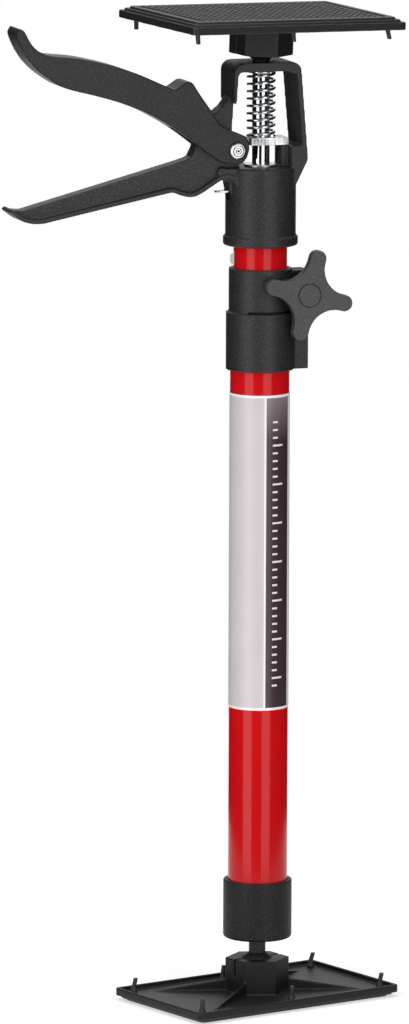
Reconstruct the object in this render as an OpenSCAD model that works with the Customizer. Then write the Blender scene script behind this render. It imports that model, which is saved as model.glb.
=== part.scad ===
// Telescopic drywall support pole with a one-hand pump trigger.
// Millimetres. The foot pad stands on z = 0 and the pole runs up the Z axis.
// The handles reach out along -X and the clamp knob faces -Y.

/* [Pressure plates] */
// Length of the rectangular foot and head plates
plate_l = 125.5; // [110:0.5:140]
// Width of the plates
plate_w = 77; // [70:0.5:90]
// Height of the plate rim
plate_rim_h = 4; // [3.4:0.1:5]
// Thickness of the plate floor inside the rim
plate_floor_t = 1.8; // [1.4:0.1:2.4]
// Thickness of the plate rim
plate_wall_t = 2; // [1.6:0.1:3]
// Corner radius of the plates
plate_corner_r = 2.5; // [1:0.1:5]
// Turn of the foot plate about the pole, degrees
foot_yaw = 17.6; // [-45:0.1:45]
// Turn of the head plate about the pole, degrees
head_yaw = 13.1; // [-45:0.1:45]
// Rest tilt of the head plate about its long axis, degrees
head_tilt_long = 1.8; // [-3:0.1:3]
// Rest tilt of the head plate about its short axis, degrees
head_tilt_short = 1.6; // [-3:0.1:3]
// Corner radius of the six-sided ball socket
socket_r = 16.4; // [15.4:0.1:18]
// Height of the ball socket above the pad side of its plate
socket_h = 19.4; // [18.4:0.1:22]
// Width of the two spring slots in the socket
socket_slot_w = 1.3; // [0.8:0.1:2]
// Height of the corner ribs where they meet the socket
rib_h = 8.4; // [6:0.1:12]
// Thickness of the corner ribs
rib_t = 1.6; // [1.2:0.1:2.4]

/* [Rubber pads] */
// Thickness of a pad
pad_t = 2.2; // [1.8:0.1:3]
// Distance from the plate edge to the gripping face of the pad
pad_inset = 4; // [3:0.1:6]
// Distance from the plate edge to the ledge of the pad
pad_ledge_inset = 2; // [1:0.1:2.8]
// Distance between the grip grooves
groove_pitch = 3.9; // [3.4:0.1:6]
// Width of a grip groove
groove_w = 1.1; // [0.6:0.1:1.6]
// Depth of a grip groove
groove_d = 0.5; // [0.3:0.1:0.8]
// Plain border round the grip grooves
groove_border = 3.5; // [2:0.1:6]
// Distance of the pull-through studs from the middle, along the plate
stud_x = 56; // [50:0.5:58]
// Distance of the pull-through studs from the middle, across the plate
stud_y = 30.5; // [26:0.5:33]
// Radius of a stud where it passes the plate
stud_r = 1.3; // [1:0.1:1.6]
// Height of a stud above the pad side of the plate
stud_h = 9.5; // [8:0.1:12]

/* [Ball joints] */
// Radius of the balls
ball_r = 9; // [8.6:0.1:9.4]
// Distance from the ball centre to the open end of its socket
ball_depth = 5.2; // [4.6:0.1:5.8]
// Radius of the stem under the foot cup
stem_r = 4.3; // [3.6:0.1:4.6]
// Distance from the foot ball centre to the foot cup
stem_l = 16.1; // [14:0.1:20]

/* [Tubes] */
// Outer diameter of the lower tube
outer_d = 30.5; // [30.3:0.1:30.8]
// Wall of the lower tube
outer_wall = 1.2; // [1.1:0.05:1.3]
// Length of the lower tube
outer_l = 312; // [290:1:340]
// Outer diameter of the upper tube
inner_d = 27.5; // [27.2:0.1:27.5]
// Wall of the upper tube
inner_wall = 1; // [0.8:0.1:1.2]
// Outer diameter of the foot cup
cup_d = 35.2; // [34.4:0.1:37]
// Height of the foot cup
cup_h = 30.3; // [26:0.1:36]
// Height of the foot cup floor
cup_floor_h = 9; // [8:0.1:11]
// Distance from the foot cup to the label
label_gap = 90.2; // [40:0.1:100]
// Distance from the label to the tube clamp
label_clamp_gap = 11.8; // [2:0.1:40]

/* [Tube clamp] */
// Outer diameter of the sleeve on the lower tube
sleeve_d = 34.8; // [34:0.1:36]
// Height of the sleeve
sleeve_h = 29.7; // [26:0.1:34]
// Outer diameter of the split ring on the upper tube
ring_d = 32.1; // [31.6:0.1:33]
// Height of the split ring
ring_h = 22.4; // [21:0.1:26]
// Distance from the pole axis to the end of the lugs
lug_x = 24; // [23.6:0.1:27]
// Thickness of both lugs together
lug_t = 12; // [11:0.1:14]
// Distance from the top of the ring down to the top of the lugs
lug_drop = 1.4; // [0:0.1:3]
// Width of the slit between the lugs
slit_w = 2; // [1.4:0.1:2.6]
// Distance from the pole axis to the clamp bolt
bolt_x = 19.3; // [19:0.1:20]
// Diameter of the clamp bolt
bolt_d = 6; // [5:0.1:6]

/* [Star knob] */
// Radius of the knob at its four lobe tips
knob_r = 23.4; // [21:0.1:26]
// Wall of the knob hub round the clamp bolt
hub_wall = 2.6; // [2:0.1:3]
// Radius of a rounded lobe tip
lobe_r = 4.2; // [3.6:0.1:4.8]
// Thickness of the lobes
lobe_t = 4.9; // [4:0.1:8]
// Length of the knob from the lug washer to its face
knob_l = 15.4; // [13:0.1:18]
// Turn of the knob, degrees
knob_turn = -14; // [-45:1:45]

/* [Head casting] */
// Gap between the clamp ring and the head
head_gap = 11.7; // [6:0.1:20]
// Outer diameter of the head barrel
head_d = 36; // [35.4:0.1:37]
// Height of the head barrel
head_h = 40.2; // [39:0.1:42]
// Outer diameter of the collar at the foot of the barrel
collar_d = 38.2; // [37.4:0.1:40]
// Height of the collar
collar_h = 4.9; // [4:0.1:7]
// Height of the yoke above the barrel
yoke_h = 53.7; // [51:0.1:58]
// Half width of the yoke at its top
yoke_top_x = 17.9; // [17:0.1:19]
// Half width of the yoke at its widest, above the barrel
yoke_low_x = 21.5; // [20.5:0.1:23]
// Depth of the yoke from front to back
yoke_t = 24; // [20:0.5:26]
// Wall of the yoke legs
yoke_wall = 2.5; // [2:0.1:3.2]
// Thickness of the yoke top
yoke_bar_t = 4.5; // [4:0.1:6]
// Thickness of the handle web
web_t = 10; // [8:0.1:10.2]
// Depth of the flange along the fixed handle
flange_depth = 18; // [16:0.5:20]
// Thickness of that flange
flange_t = 2.2; // [1.6:0.1:2.6]
// Distance from the pole axis to the tip of the fixed handle
fixed_l = 134.5; // [125:0.5:145]

/* [Trigger] */
// Distance from the pivot to the tip of the trigger
trigger_l = 117; // [108:0.5:124]
// Depth of the trigger from front to back
trigger_t = 18; // [16:0.5:20]
// Wall of the hollow grip
trigger_wall = 2.6; // [2.2:0.1:3.2]
// Distance from the pole axis to the pivot
pivot_x = 15.1; // [15:0.05:15.4]
// Height of the pivot above the barrel
pivot_h = 9.1; // [9:0.1:9.6]
// Diameter of the pivot pin
pin_d = 5; // [4:0.1:5]
// Diameter of the pivot pin head
pin_head_d = 9.1; // [8:0.1:10]

/* [Drive] */
// Diameter of the push rod
rod_d = 9; // [8.6:0.1:9]
// Gap left between the foot end of the push rod and the end of the upper tube
rod_lift = 5; // [5:0.1:8]
// Thickness of one drive plate
drive_t = 1.25; // [1:0.05:1.3]
// Depth of the drive plates from front to back
drive_depth = 13; // [12:0.5:15]
// Distance from the pole axis to the trigger end of the drive plates
drive_left = 7; // [6.6:0.1:7.4]
// Distance from the pole axis to the shoulder end of the drive plates
drive_right = 12.7; // [11.5:0.1:14]
// Height of the drive plates above the barrel
drive_h = 11.1; // [10.9:0.1:11.4]
// Outer diameter of the drive spring
spring_d = 15; // [14.4:0.1:15.6]
// Wire diameter of the drive spring
wire_d = 1.5; // [1.2:0.1:1.7]
// Curls of the drive spring
spring_curls = 8.75; // [7.75:0.25:9.75]
// Height of the release plate above the foot of the barrel
release_h = 27.4; // [26.8:0.1:28.2]
// Distance from the pole axis to the end of the release tab
release_tab_x = 24.6; // [22:0.1:27]

/* [Hidden] */

$fn = 64;
cut = 1;
fit = 0.05;
play = 0.1;
free = 0.3;

// Heights along the pole, from the foot up
ball_h = socket_h - ball_depth;
foot_ball_z = pad_t + ball_h;
cup_z = foot_ball_z + stem_l;
retainer_t = 1.5;
outer_z = cup_z + cup_floor_h + retainer_t;
outer_top = outer_z + outer_l;
glide_flange_h = 3;
glide_z = outer_z + glide_flange_h;
inner_z = glide_z + glide_flange_h;
shoulder_t = 2;
ring_z = outer_top + shoulder_t;
sleeve_z = ring_z - sleeve_h;
ring_top = ring_z + ring_h;
head_z = ring_top + head_gap;
tube_socket_h = 17.9;
inner_top = head_z + tube_socket_h;
seat_t = 1;
head_top = head_z + head_h;
yoke_top = head_top + yoke_h;
window_top = yoke_top - yoke_bar_t;
socket_gap = 3.4;
head_ball_z = yoke_top + socket_gap + ball_depth;
outer_bore_r = outer_d / 2 - outer_wall;
inner_r = inner_d / 2;
inner_bore_r = inner_r - inner_wall;
rod_r = rod_d / 2;

// Colours
black_plastic = "#2b2c2e";
black_cast = "#303133";
rubber_black = "#242526";
red_paint = "#c8141a";
zinc = "#c9ccd0";
chrome = "#dfe2e6";
label_grey = "#d8d3d6";

// Points of a circular arc in a plane
function arc(c, r, a0, a1, n = 8) =
    [for (i = [0:n]) let (a = a0 + (a1 - a0) * i / n) [c[0] + r * cos(a), c[1] + r * sin(a)]];

// A smooth open curve through the given points
function curve(p, n = 4) = concat(
    [for (i = [0:len(p) - 2], j = [0:n - 1])
        let (t = j / n,
             a = p[max(i - 1, 0)], b = p[i], c = p[i + 1], d = p[min(i + 2, len(p) - 1)])
        0.5 * (2 * b + (c - a) * t + (2 * a - 5 * b + 4 * c - d) * t * t
            + (3 * b - a - 3 * c + d) * t * t * t)],
    [p[len(p) - 1]]);

// The same open curve moved sideways, to its left when d is positive
function beside(p, d) =
    [for (i = [0:len(p) - 1])
        let (s = p[min(i + 1, len(p) - 1)] - p[max(i - 1, 0)])
        p[i] + d * [-s[1], s[0]] / norm(s)];

function backwards(p) = [for (i = [len(p) - 1:-1:0]) p[i]];

// A closed strip of even thickness along a curve
function strip(p, t) = concat(p, backwards(beside(p, t)));

function scaled(shares, l) = [for (s = shares) s * l];
function moved(p, by) = [for (q = p) q + by];

// A flat shape drawn in X and Z, thickened evenly to front and back
module upright(depth, points) {
    rotate([90, 0, 0])
        linear_extrude(height = depth, center = true) polygon(points);
}

module rounded_slab(l, w, h, r) {
    linear_extrude(height = h) {
        square([l - 2 * r, w], center = true);
        square([l, w - 2 * r], center = true);
        for (x = [-1, 1], y = [-1, 1])
            translate([x * (l / 2 - r), y * (w / 2 - r)]) circle(r = r);
    }
}

module tube(r_out, r_in, h) {
    difference() {
        cylinder(r = r_out, h = h);
        translate([0, 0, -cut]) cylinder(r = r_in, h = h + 2 * cut);
    }
}

// Places of the six pull-through studs, and the lean of their tails in degrees
stud_places = [[-1, 1], [-1, -1], [0, -1], [0, 1], [1, -1], [1, 1]];
stud_leans = [[4, 8], [0, 2], [5, 0], [0, 6], [3, 9], [2, 14]];

// Pressure plate, drawn with its pad side on z = 0 and its socket up
module pressure_plate() {
    socket_wall_l = 2 * socket_r;
    rib_end = [0.72 * plate_l / 2, 0.7 * plate_w / 2];
    rib_run = norm(rib_end);
    difference() {
        union() {
            difference() {
                rounded_slab(plate_l, plate_w, plate_rim_h, plate_corner_r);
                translate([0, 0, plate_floor_t])
                    rounded_slab(plate_l - 2 * plate_wall_t, plate_w - 2 * plate_wall_t,
                        plate_rim_h, plate_corner_r / 2);
            }
            rotate([0, 0, 30]) cylinder(r = socket_r, h = socket_h, $fn = 6);
            for (x = [-1, 1], y = [-1, 1])
                rotate([0, 0, atan2(y * rib_end[1], x * rib_end[0])])
                    upright(rib_t, [
                        [socket_r - rib_t, plate_floor_t - fit], [rib_run, plate_floor_t - fit],
                        [rib_run, plate_floor_t + rib_t / 4], [socket_r - rib_t, rib_h]]);
        }
        translate([0, 0, ball_h]) sphere(r = ball_r + play);
        for (x = [-1, 1])
            translate([x * socket_r, 0, plate_floor_t + rib_h + socket_h / 2])
                cube([socket_r, socket_slot_w, socket_h], center = true);
        for (s = stud_places)
            translate([s[0] * stud_x, s[1] * stud_y, -cut])
                cylinder(r = stud_r + play, h = plate_floor_t + 2 * cut);
    }
}

// Rubber pad in the same frame, below z = 0, with its studs pulled through the plate
module rubber_pad() {
    face_l = plate_l - 2 * pad_inset;
    face_w = plate_w - 2 * pad_inset;
    ledge_t = pad_t / 2;
    field_l = face_l - 2 * groove_border;
    grooves = 2 * floor(field_l / groove_pitch / 2);
    bulb_h = 1.9;
    bulb_r = 1.5 * stud_r;
    tail_r = 0.75 * stud_r;
    translate([0, 0, -ledge_t])
        rounded_slab(plate_l - 2 * pad_ledge_inset, plate_w - 2 * pad_ledge_inset,
            ledge_t, plate_corner_r);
    difference() {
        translate([0, 0, -pad_t]) rounded_slab(face_l, face_w, ledge_t, plate_corner_r);
        for (i = [0:grooves - 1])
            translate([(i - (grooves - 1) / 2) * groove_pitch, 0, -pad_t])
                cube([groove_w, face_w - 2 * groove_border, 2 * groove_d], center = true);
    }
    for (i = [0:len(stud_places) - 1])
        translate([stud_places[i][0] * stud_x, stud_places[i][1] * stud_y, 0]) {
            translate([0, 0, -fit]) cylinder(r = stud_r, h = plate_floor_t + 3 * fit, $fn = 24);
            translate([0, 0, plate_floor_t + fit])
                cylinder(r = bulb_r, h = bulb_h / 2, $fn = 24);
            translate([0, 0, plate_floor_t + fit + bulb_h / 2])
                cylinder(r1 = bulb_r, r2 = tail_r, h = bulb_h, $fn = 24);
            translate([0, 0, plate_floor_t + bulb_h])
                rotate([stud_leans[i][0], stud_leans[i][1], 0])
                    cylinder(r = tail_r, h = stud_h - plate_floor_t - bulb_h, $fn = 24);
        }
}

module at_foot() {
    translate([0, 0, pad_t]) rotate([0, 0, foot_yaw]) children();
}

// The head plate hangs from its ball centre, upside down and slightly tilted
module at_head() {
    translate([0, 0, head_ball_z])
        rotate([0, 0, head_yaw]) rotate([head_tilt_long, 0, 0]) rotate([0, head_tilt_short, 0])
            rotate([180, 0, 0]) translate([0, 0, -ball_h]) children();
}

module foot_pad() { color(rubber_black) at_foot() rubber_pad(); }
module foot_plate() { color(black_plastic) at_foot() pressure_plate(); }
module head_plate() { color(black_plastic) at_head() pressure_plate(); }
module head_pad() { color(rubber_black) at_head() rubber_pad(); }

module foot_ball() {
    color(black_cast) translate([0, 0, foot_ball_z]) sphere(r = ball_r);
}

module head_ball() {
    color(black_cast) translate([0, 0, head_ball_z]) sphere(r = ball_r);
}

// Stem of the foot ball, with a head that is held inside the foot cup
stem_head_r = 7.5;
stem_head_h = 3.3;
stem_pocket_h = 3.5;

module foot_stem() {
    head_at = cup_z + cup_floor_h - stem_pocket_h + fit;
    color(black_cast)
        difference() {
            union() {
                translate([0, 0, foot_ball_z])
                    cylinder(r = stem_r, h = head_at - foot_ball_z + fit);
                translate([0, 0, head_at]) cylinder(r = stem_head_r, h = stem_head_h);
            }
            translate([0, 0, foot_ball_z]) sphere(r = ball_r + fit);
        }
}

// Disc that closes the foot cup over the stem head
module stem_retainer() {
    color(zinc) translate([0, 0, cup_z + cup_floor_h]) cylinder(r = outer_d / 2, h = retainer_t);
}

module foot_cup() {
    cup_r = cup_d / 2;
    edge = 1.2;
    color(black_cast)
        translate([0, 0, cup_z])
            difference() {
                rotate_extrude()
                    polygon([[0, 0], [cup_r - edge, 0], [cup_r - edge / 3, edge / 3],
                        [cup_r, edge], [cup_r, cup_h - edge / 2], [cup_r - edge / 2, cup_h],
                        [0, cup_h]]);
                translate([0, 0, -cut]) cylinder(r = stem_r + play, h = cup_floor_h);
                translate([0, 0, cup_floor_h - stem_pocket_h])
                    cylinder(r = stem_head_r + play, h = cup_floor_h);
                translate([0, 0, cup_floor_h]) cylinder(r = outer_d / 2 + fit, h = cup_h);
            }
}

module outer_tube() {
    color(red_paint)
        translate([0, 0, outer_z]) tube(outer_d / 2, outer_bore_r, outer_l);
}

// Film label wrapped round the lower tube, with its seam at the back
label_t = 0.2;
adhesive_t = 0.03;
label_seam_w = 3;
label_z = cup_z + cup_h + label_gap;
label_h = sleeve_z - label_clamp_gap - label_z;

module label() {
    color(label_grey)
        translate([0, 0, label_z])
            difference() {
                tube(outer_d / 2 + label_t, outer_d / 2 + adhesive_t, label_h);
                translate([0, outer_d / 2, label_h / 2])
                    cube([label_seam_w, outer_d / 4, label_h + 2 * cut], center = true);
            }
}

// One moulding: a sleeve on the lower tube, a split ring on the upper tube and two lugs
bolt_z = outer_top + 12;
slot_h = 1;
slot_half_angle = 140;
nut_af = 10;
nut_h = 5;
nut_sink = 1.5;
hub_r = bolt_d / 2 + hub_wall;

module tube_clamp() {
    hinge_w = ring_d * sin(180 - slot_half_angle);
    color(black_cast)
        difference() {
            union() {
                translate([0, 0, sleeve_z]) cylinder(d = sleeve_d, h = sleeve_h);
                translate([0, 0, ring_z - fit]) cylinder(d = ring_d, h = ring_h + fit);
                translate([0, -lug_t / 2, sleeve_z])
                    cube([lug_x, lug_t, ring_top - lug_drop - sleeve_z]);
            }
            translate([0, 0, sleeve_z - cut])
                cylinder(r = outer_d / 2 + fit, h = outer_top - sleeve_z + cut);
            translate([0, 0, sleeve_z]) cylinder(r = inner_r + play, h = ring_top);
            // slit between the lugs
            translate([0, -slit_w / 2, ring_z])
                cube([lug_x + cut, slit_w, ring_h + cut]);
            // slot that frees the split ring from the sleeve, except at its back
            translate([-hinge_w / 2, -sleeve_d / 2, ring_z])
                cube([sleeve_d + lug_x, sleeve_d, slot_h]);
            // seat of the washer and the knob hub, let into the ring
            translate([bolt_x, -lug_t / 2, bolt_z]) rotate([90, 0, 0])
                cylinder(r = hub_r + free, h = ring_d);
            // bolt hole and nut pocket
            translate([bolt_x, 0, bolt_z]) rotate([90, 0, 0])
                cylinder(d = bolt_d + 4 * play, h = 2 * lug_t, center = true);
            translate([bolt_x, lug_t / 2 - nut_sink, bolt_z]) rotate([-90, 0, 0])
                cylinder(r = nut_af / sqrt(3) + play, h = lug_t, $fn = 6);
        }
}

module clamp_nut() {
    color(zinc)
        translate([bolt_x, lug_t / 2 - nut_sink, bolt_z]) rotate([-90, 0, 0])
            difference() {
                cylinder(r = nut_af / sqrt(3), h = nut_h, $fn = 6);
                translate([0, 0, -cut]) cylinder(r = bolt_d / 2 + fit, h = nut_h + 2 * cut);
            }
}

// The knob group turns about the bolt: places along the bolt are measured from its axis
washer_t = 1;
bolt_head_h = 3;
knob_back = lug_t / 2 + play + washer_t;
knob_face = knob_back + knob_l;
cap_r = 5.8;
cap_t = 2.2;
cap_proud = 0.6;

module on_bolt(from_axis) {
    translate([bolt_x, -from_axis, bolt_z]) rotate([90, 0, 0]) children();
}

module clamp_washer() {
    color(zinc)
        on_bolt(lug_t / 2 + play) tube(hub_r, bolt_d / 2 + play, washer_t);
}

module clamp_bolt() {
    head_at = knob_face - cap_t - bolt_head_h;
    tail = lug_t / 2 + nut_h + bolt_d / 3;
    color(zinc) {
        on_bolt(-tail) cylinder(d = bolt_d, h = tail + head_at + fit);
        on_bolt(head_at) cylinder(r = nut_af / sqrt(3), h = bolt_head_h, $fn = 6);
    }
}

// Outline of the star: a round tip on each lobe, joined by hollow flanks
flank_r = 13.6;

function star_points() =
    let (tip = knob_r - lobe_r,
         reach = lobe_r + flank_r,
         // flank centres lie on the diagonals, a tip and a flank radius from two lobe centres
         d = (tip + sqrt(2 * reach * reach - tip * tip)) / sqrt(2),
         lean = atan2(d / sqrt(2), d / sqrt(2) - tip))
    [for (k = [0:3])
        let (tip_c = tip * [cos(90 * k), sin(90 * k)],
             flank_c = d * [cos(90 * k + 45), sin(90 * k + 45)])
        each concat(
            arc(tip_c, lobe_r, 90 * k - lean, 90 * k + lean, 12),
            arc(flank_c, flank_r, 90 * k + lean + 180, 90 * k + 270 - lean, 10))];

module star_knob() {
    color(black_plastic)
        difference() {
            union() {
                on_bolt(knob_face - lobe_t) rotate([0, 0, knob_turn])
                    linear_extrude(height = lobe_t) polygon(star_points());
                on_bolt(knob_back) cylinder(r = hub_r, h = knob_l - lobe_t + fit);
            }
            on_bolt(knob_back - cut) cylinder(r = bolt_d / 2 + fit, h = knob_l);
            on_bolt(knob_face - cap_t - bolt_head_h - fit)
                cylinder(r = nut_af / sqrt(3) + fit, h = knob_l, $fn = 6);
            on_bolt(knob_face - cap_t) cylinder(r = cap_r + play, h = cap_t + cut);
        }
}

module knob_cap() {
    color(black_plastic)
        on_bolt(knob_face - cap_t + fit) {
            cylinder(r = cap_r, h = cap_t);
            translate([0, 0, cap_t]) cylinder(r1 = cap_r, r2 = cap_r - cap_proud, h = cap_proud);
        }
}

// Bush at the lower end of the upper tube: it slides, and the upper tube turns on it
module tube_glide() {
    spigot_h = 4;
    spigot_bore_r = 10.5;
    color("#e8e6df")
        translate([0, 0, glide_z])
            difference() {
                union() {
                    cylinder(r = outer_bore_r - play, h = glide_flange_h - fit);
                    cylinder(r = inner_bore_r - fit, h = glide_flange_h + spigot_h);
                }
                translate([0, 0, -cut])
                    cylinder(r = spigot_bore_r, h = glide_flange_h + spigot_h + 2 * cut);
            }
}

module inner_tube() {
    color(red_paint)
        translate([0, 0, inner_z]) tube(inner_r, inner_bore_r, inner_top - inner_z);
}

// Head casting. Its outlines are drawn in X and Z, as shares of the size they follow.
pivot = [-pivot_x, head_top + pivot_h];
pivot_boss_r = 4.1;
bush_r = 6.5;
bush_flange_r = 8.6;
bush_flange_h = 1.2;
chamber_r = 12.3;
chamber_roof_t = 6.8;
shoulder_x = 5.6;
shoulder_bevel = 2.7;
shoulder_top = drive_h - play;
notch_h = 33;
flange_root_z = head_top - 11;

// Underside of the fixed handle, from its tip to the barrel, from the barrel's top edge
fixed_shares = [
    [-1.002, -0.1355], [-0.988, -0.148], [-0.9494, -0.1735], [-0.8889, -0.1837],
    [-0.8098, -0.17], [-0.6555, -0.1388], [-0.5192, -0.1119], [-0.3952, -0.0869],
    [-0.3636, -0.0836], [-0.3325, -0.0952], [-0.292, -0.1025], [-0.2578, -0.0917],
    [-0.2177, -0.0677], [-0.1797, -0.0448], [-0.1586, -0.0375], [-0.1395, -0.0396],
    [-0.123, -0.0532], [-0.114, -0.08]];
// Upper edge of the web, from the handle tip to the yoke leg
web_shares = [
    [-0.9433, -0.1341], [-0.8838, -0.118], [-0.8183, -0.1008], [-0.6229, -0.0488],
    [-0.4288, 0.003], [-0.2996, 0.0391], [-0.2804, 0.0578], [-0.2672, 0.0873], [-0.2543, 0.1411],
    [-0.2231, 0.188], [-0.1906, 0.2107], [-0.1767, 0.2212], [-0.1623, 0.2323], [-0.1484, 0.2503],
    [-0.1375, 0.2659]];

// Outlines of the handle root, beside the barrel
root_t = 16;
root_outline = [
    [-26.1, -2.4], [-25, -0.9], [-24.4, 0.7], [-20.5, 0.1], [-13, 0], [-13, -9],
    [-15, -6.8], [-16.6, -5.2], [-19.5, -4.2], [-23, -4]];
fillet_outline = [
    [-20, -5.5], [-18.8, -7.7], [-17.8, -13.3], [-16.9, -15.3], [-13, -15.3], [-13, -5.5]];

module yoke_solid() {
    r = 5;
    half_z = head_top + 3.9;
    merge_x = 13.4;
    merge_z = head_top - 12.5;
    lean = (yoke_low_x - yoke_top_x) / (yoke_top - half_z);
    inner_low = yoke_low_x - yoke_wall - lean * (shoulder_top - 3.9);
    notch_z = head_top + notch_h;
    left_in = yoke_top_x - 0.88 * yoke_wall;
    left_low = yoke_top_x - 0.58 * yoke_wall;
    upright(yoke_t, concat(
        [[-yoke_top_x + 0.4 * yoke_wall, notch_z], [-yoke_top_x, notch_z + 0.5 * yoke_wall]],
        arc([-yoke_top_x + r, yoke_top - r], r, 180, 90),
        arc([yoke_top_x - r, yoke_top - r], r, 90, 0),
        [[yoke_low_x, half_z], [merge_x, merge_z], [shoulder_x + shoulder_bevel, merge_z],
         [shoulder_x + shoulder_bevel, head_top + shoulder_top],
         [inner_low, head_top + shoulder_top]],
        arc([yoke_top_x - yoke_wall - r / 2, window_top - r / 2], r / 2, 0, 90, 5),
        arc([-left_in + r / 2, window_top - r / 2], r / 2, 90, 180, 5),
        [[-left_low, notch_z + 0.7 * yoke_wall]]));
    // shoulder under the drive plates, its two upright edges bevelled
    translate([0, 0, merge_z])
        linear_extrude(height = head_top + shoulder_top - merge_z)
            polygon([[shoulder_x, -yoke_t / 2 + shoulder_bevel],
                [shoulder_x + shoulder_bevel, -yoke_t / 2],
                [merge_x, -yoke_t / 2], [merge_x, yoke_t / 2],
                [shoulder_x + shoulder_bevel, yoke_t / 2],
                [shoulder_x, yoke_t / 2 - shoulder_bevel]]);
}

module handle_solid() {
    under = curve(scaled(fixed_shares, fixed_l));
    path = moved(under, [0, head_top]);
    upper = moved(curve(scaled(web_shares, fixed_l)), [0, head_top]);
    notch_z = head_top + notch_h;
    upright(flange_depth, strip(path, flange_t));
    upright(web_t, concat(
        upper,
        [[-yoke_top_x + 0.6 * yoke_wall, notch_z + yoke_wall],
         [-yoke_top_x + 0.76 * yoke_wall, notch_z],
         [-yoke_top_x + 0.4 * yoke_wall, head_top + 0.6 * notch_h]],
        arc(pivot, pivot_boss_r, 118, -58, 14),
        [[-pivot_x + 2.1, head_top - fit], [-pivot_x + 2.1, flange_root_z]],
        backwards(beside(path, flange_t / 2))));
    // thicker root between the web and the barrel, and the fillet of the web below it
    upright(root_t, moved(root_outline, [0, head_top]));
    upright(web_t, moved(fillet_outline, [0, head_top]));
}

module head_body() {
    edge = 0.8;
    barrel_r = head_d / 2;
    slot_w = 8;
    slot_up = 0.6;
    slot_down = 4;
    color(black_cast)
        difference() {
            union() {
                translate([0, 0, head_z])
                    rotate_extrude()
                        polygon([[0, 0], [collar_d / 2 - edge, 0], [collar_d / 2, edge],
                            [collar_d / 2, collar_h - edge / 2], [collar_d / 2 - edge / 2, collar_h],
                            [barrel_r, collar_h + edge / 4], [barrel_r, head_h - edge],
                            [barrel_r - edge, head_h], [0, head_h]]);
                yoke_solid();
                handle_solid();
            }
            // socket for the upper tube, chamber of the release plate, bush bore
            translate([0, 0, head_z - cut]) cylinder(r = inner_r + fit, h = tube_socket_h + seat_t + cut);
            translate([0, 0, head_z]) cylinder(r = chamber_r, h = head_h - chamber_roof_t);
            translate([0, 0, head_z]) cylinder(r = bush_r + fit, h = head_h + cut);
            translate([0, 0, head_top])
                cylinder(r = bush_flange_r + play, h = bush_flange_h + play);
            translate([0, 0, window_top - cut]) cylinder(r = top_bush_r + fit, h = yoke_bar_t + 2 * cut);
            translate([0, 0, yoke_top - top_flange_t])
                cylinder(r = top_flange_r + play, h = top_flange_t + cut);
            // slot for the release tab
            translate([-barrel_r - cut, -slot_w / 2, head_z + release_h - slot_down])
                cube([barrel_r, slot_w, slot_down + slot_up + release_t]);
            // pivot pin hole
            translate([pivot[0], 0, pivot[1]]) rotate([90, 0, 0])
                cylinder(d = pin_d, h = 2 * web_t, center = true);
        }
}

// Bush that guides the push rod through the roof of the barrel
module guide_bush() {
    color(zinc)
        difference() {
            union() {
                translate([0, 0, head_top - chamber_roof_t])
                    cylinder(r = bush_r, h = chamber_roof_t + fit);
                translate([0, 0, head_top])
                    cylinder(r = bush_flange_r, h = bush_flange_h);
            }
            translate([0, 0, head_z]) cylinder(r = rod_r + fit, h = yoke_top);
        }
}

// Bush that guides the push rod through the top of the yoke
top_bush_r = 5.6;
top_flange_r = 6.6;
top_flange_t = 1.3;

module top_bush() {
    color(black_plastic)
        difference() {
            union() {
                translate([0, 0, window_top]) cylinder(r = top_bush_r, h = yoke_bar_t);
                translate([0, 0, yoke_top - top_flange_t + fit])
                    cylinder(r = top_flange_r, h = top_flange_t);
            }
            translate([0, 0, head_z]) cylinder(r = rod_r + fit, h = yoke_top);
        }
}

// Release plate, which holds the push rod until its tab is pressed down
release_t = 1;
release_z = head_z + release_h;
release_r = 11.6;
release_hole_r = rod_r + free;

module release_plate() {
    tab_w = 5;
    color(zinc)
        translate([0, 0, release_z])
            difference() {
                union() {
                    cylinder(r = release_r, h = release_t);
                    translate([tab_w / 2 - release_tab_x, 0, 0])
                        cylinder(r = tab_w / 2, h = release_t);
                    translate([tab_w / 2 - release_tab_x, -tab_w / 2, 0])
                        cube([release_tab_x, tab_w, release_t]);
                }
                translate([0, 0, -cut]) cylinder(r = release_hole_r, h = release_t + 2 * cut);
            }
}

module release_seat() {
    color(zinc)
        translate([0, 0, inner_top]) tube(inner_r - play, rod_r + 2 * free, seat_t);
}

// A coil spring is one unbroken tube: rings of points along a path with straight ends
coil_rings = 8;
coil_sides = 6;

// Path of a coil: a straight start, the curls and a straight end, each with its direction
function coil_path(r, wire, h, curls) =
    let (run = h - 2 * wire, n = round(curls * coil_rings), rise = run / n,
         slope = atan2(rise, 2 * PI * r / coil_rings))
    concat(
        [[[r, 0, 0], [0, 0, 1], 0, 1]],
        [for (i = [0:n])
            let (a = 360 * i / coil_rings,
                 tilt = (i == 0 || i == n) ? (90 + slope) / 2 : slope)
            [[r * cos(a), r * sin(a), wire + rise * i],
             [-sin(a) * cos(tilt), cos(a) * cos(tilt), sin(tilt)], a,
             (i == 0 || i == n) ? 1 / cos((90 - slope) / 2) : 1]],
        [let (a = 360 * n / coil_rings)
            [[r * cos(a), r * sin(a), h], [0, 0, 1], a, 1]]);

function coil_points(path, wire) =
    [for (p = path)
        let (out = [cos(p[2]), sin(p[2]), 0], side = cross(p[1], out) * p[3])
        for (k = [0:coil_sides - 1])
            let (b = 360 * k / coil_sides)
            p[0] + wire / 2 * (cos(b) * out + sin(b) * side)];

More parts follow.
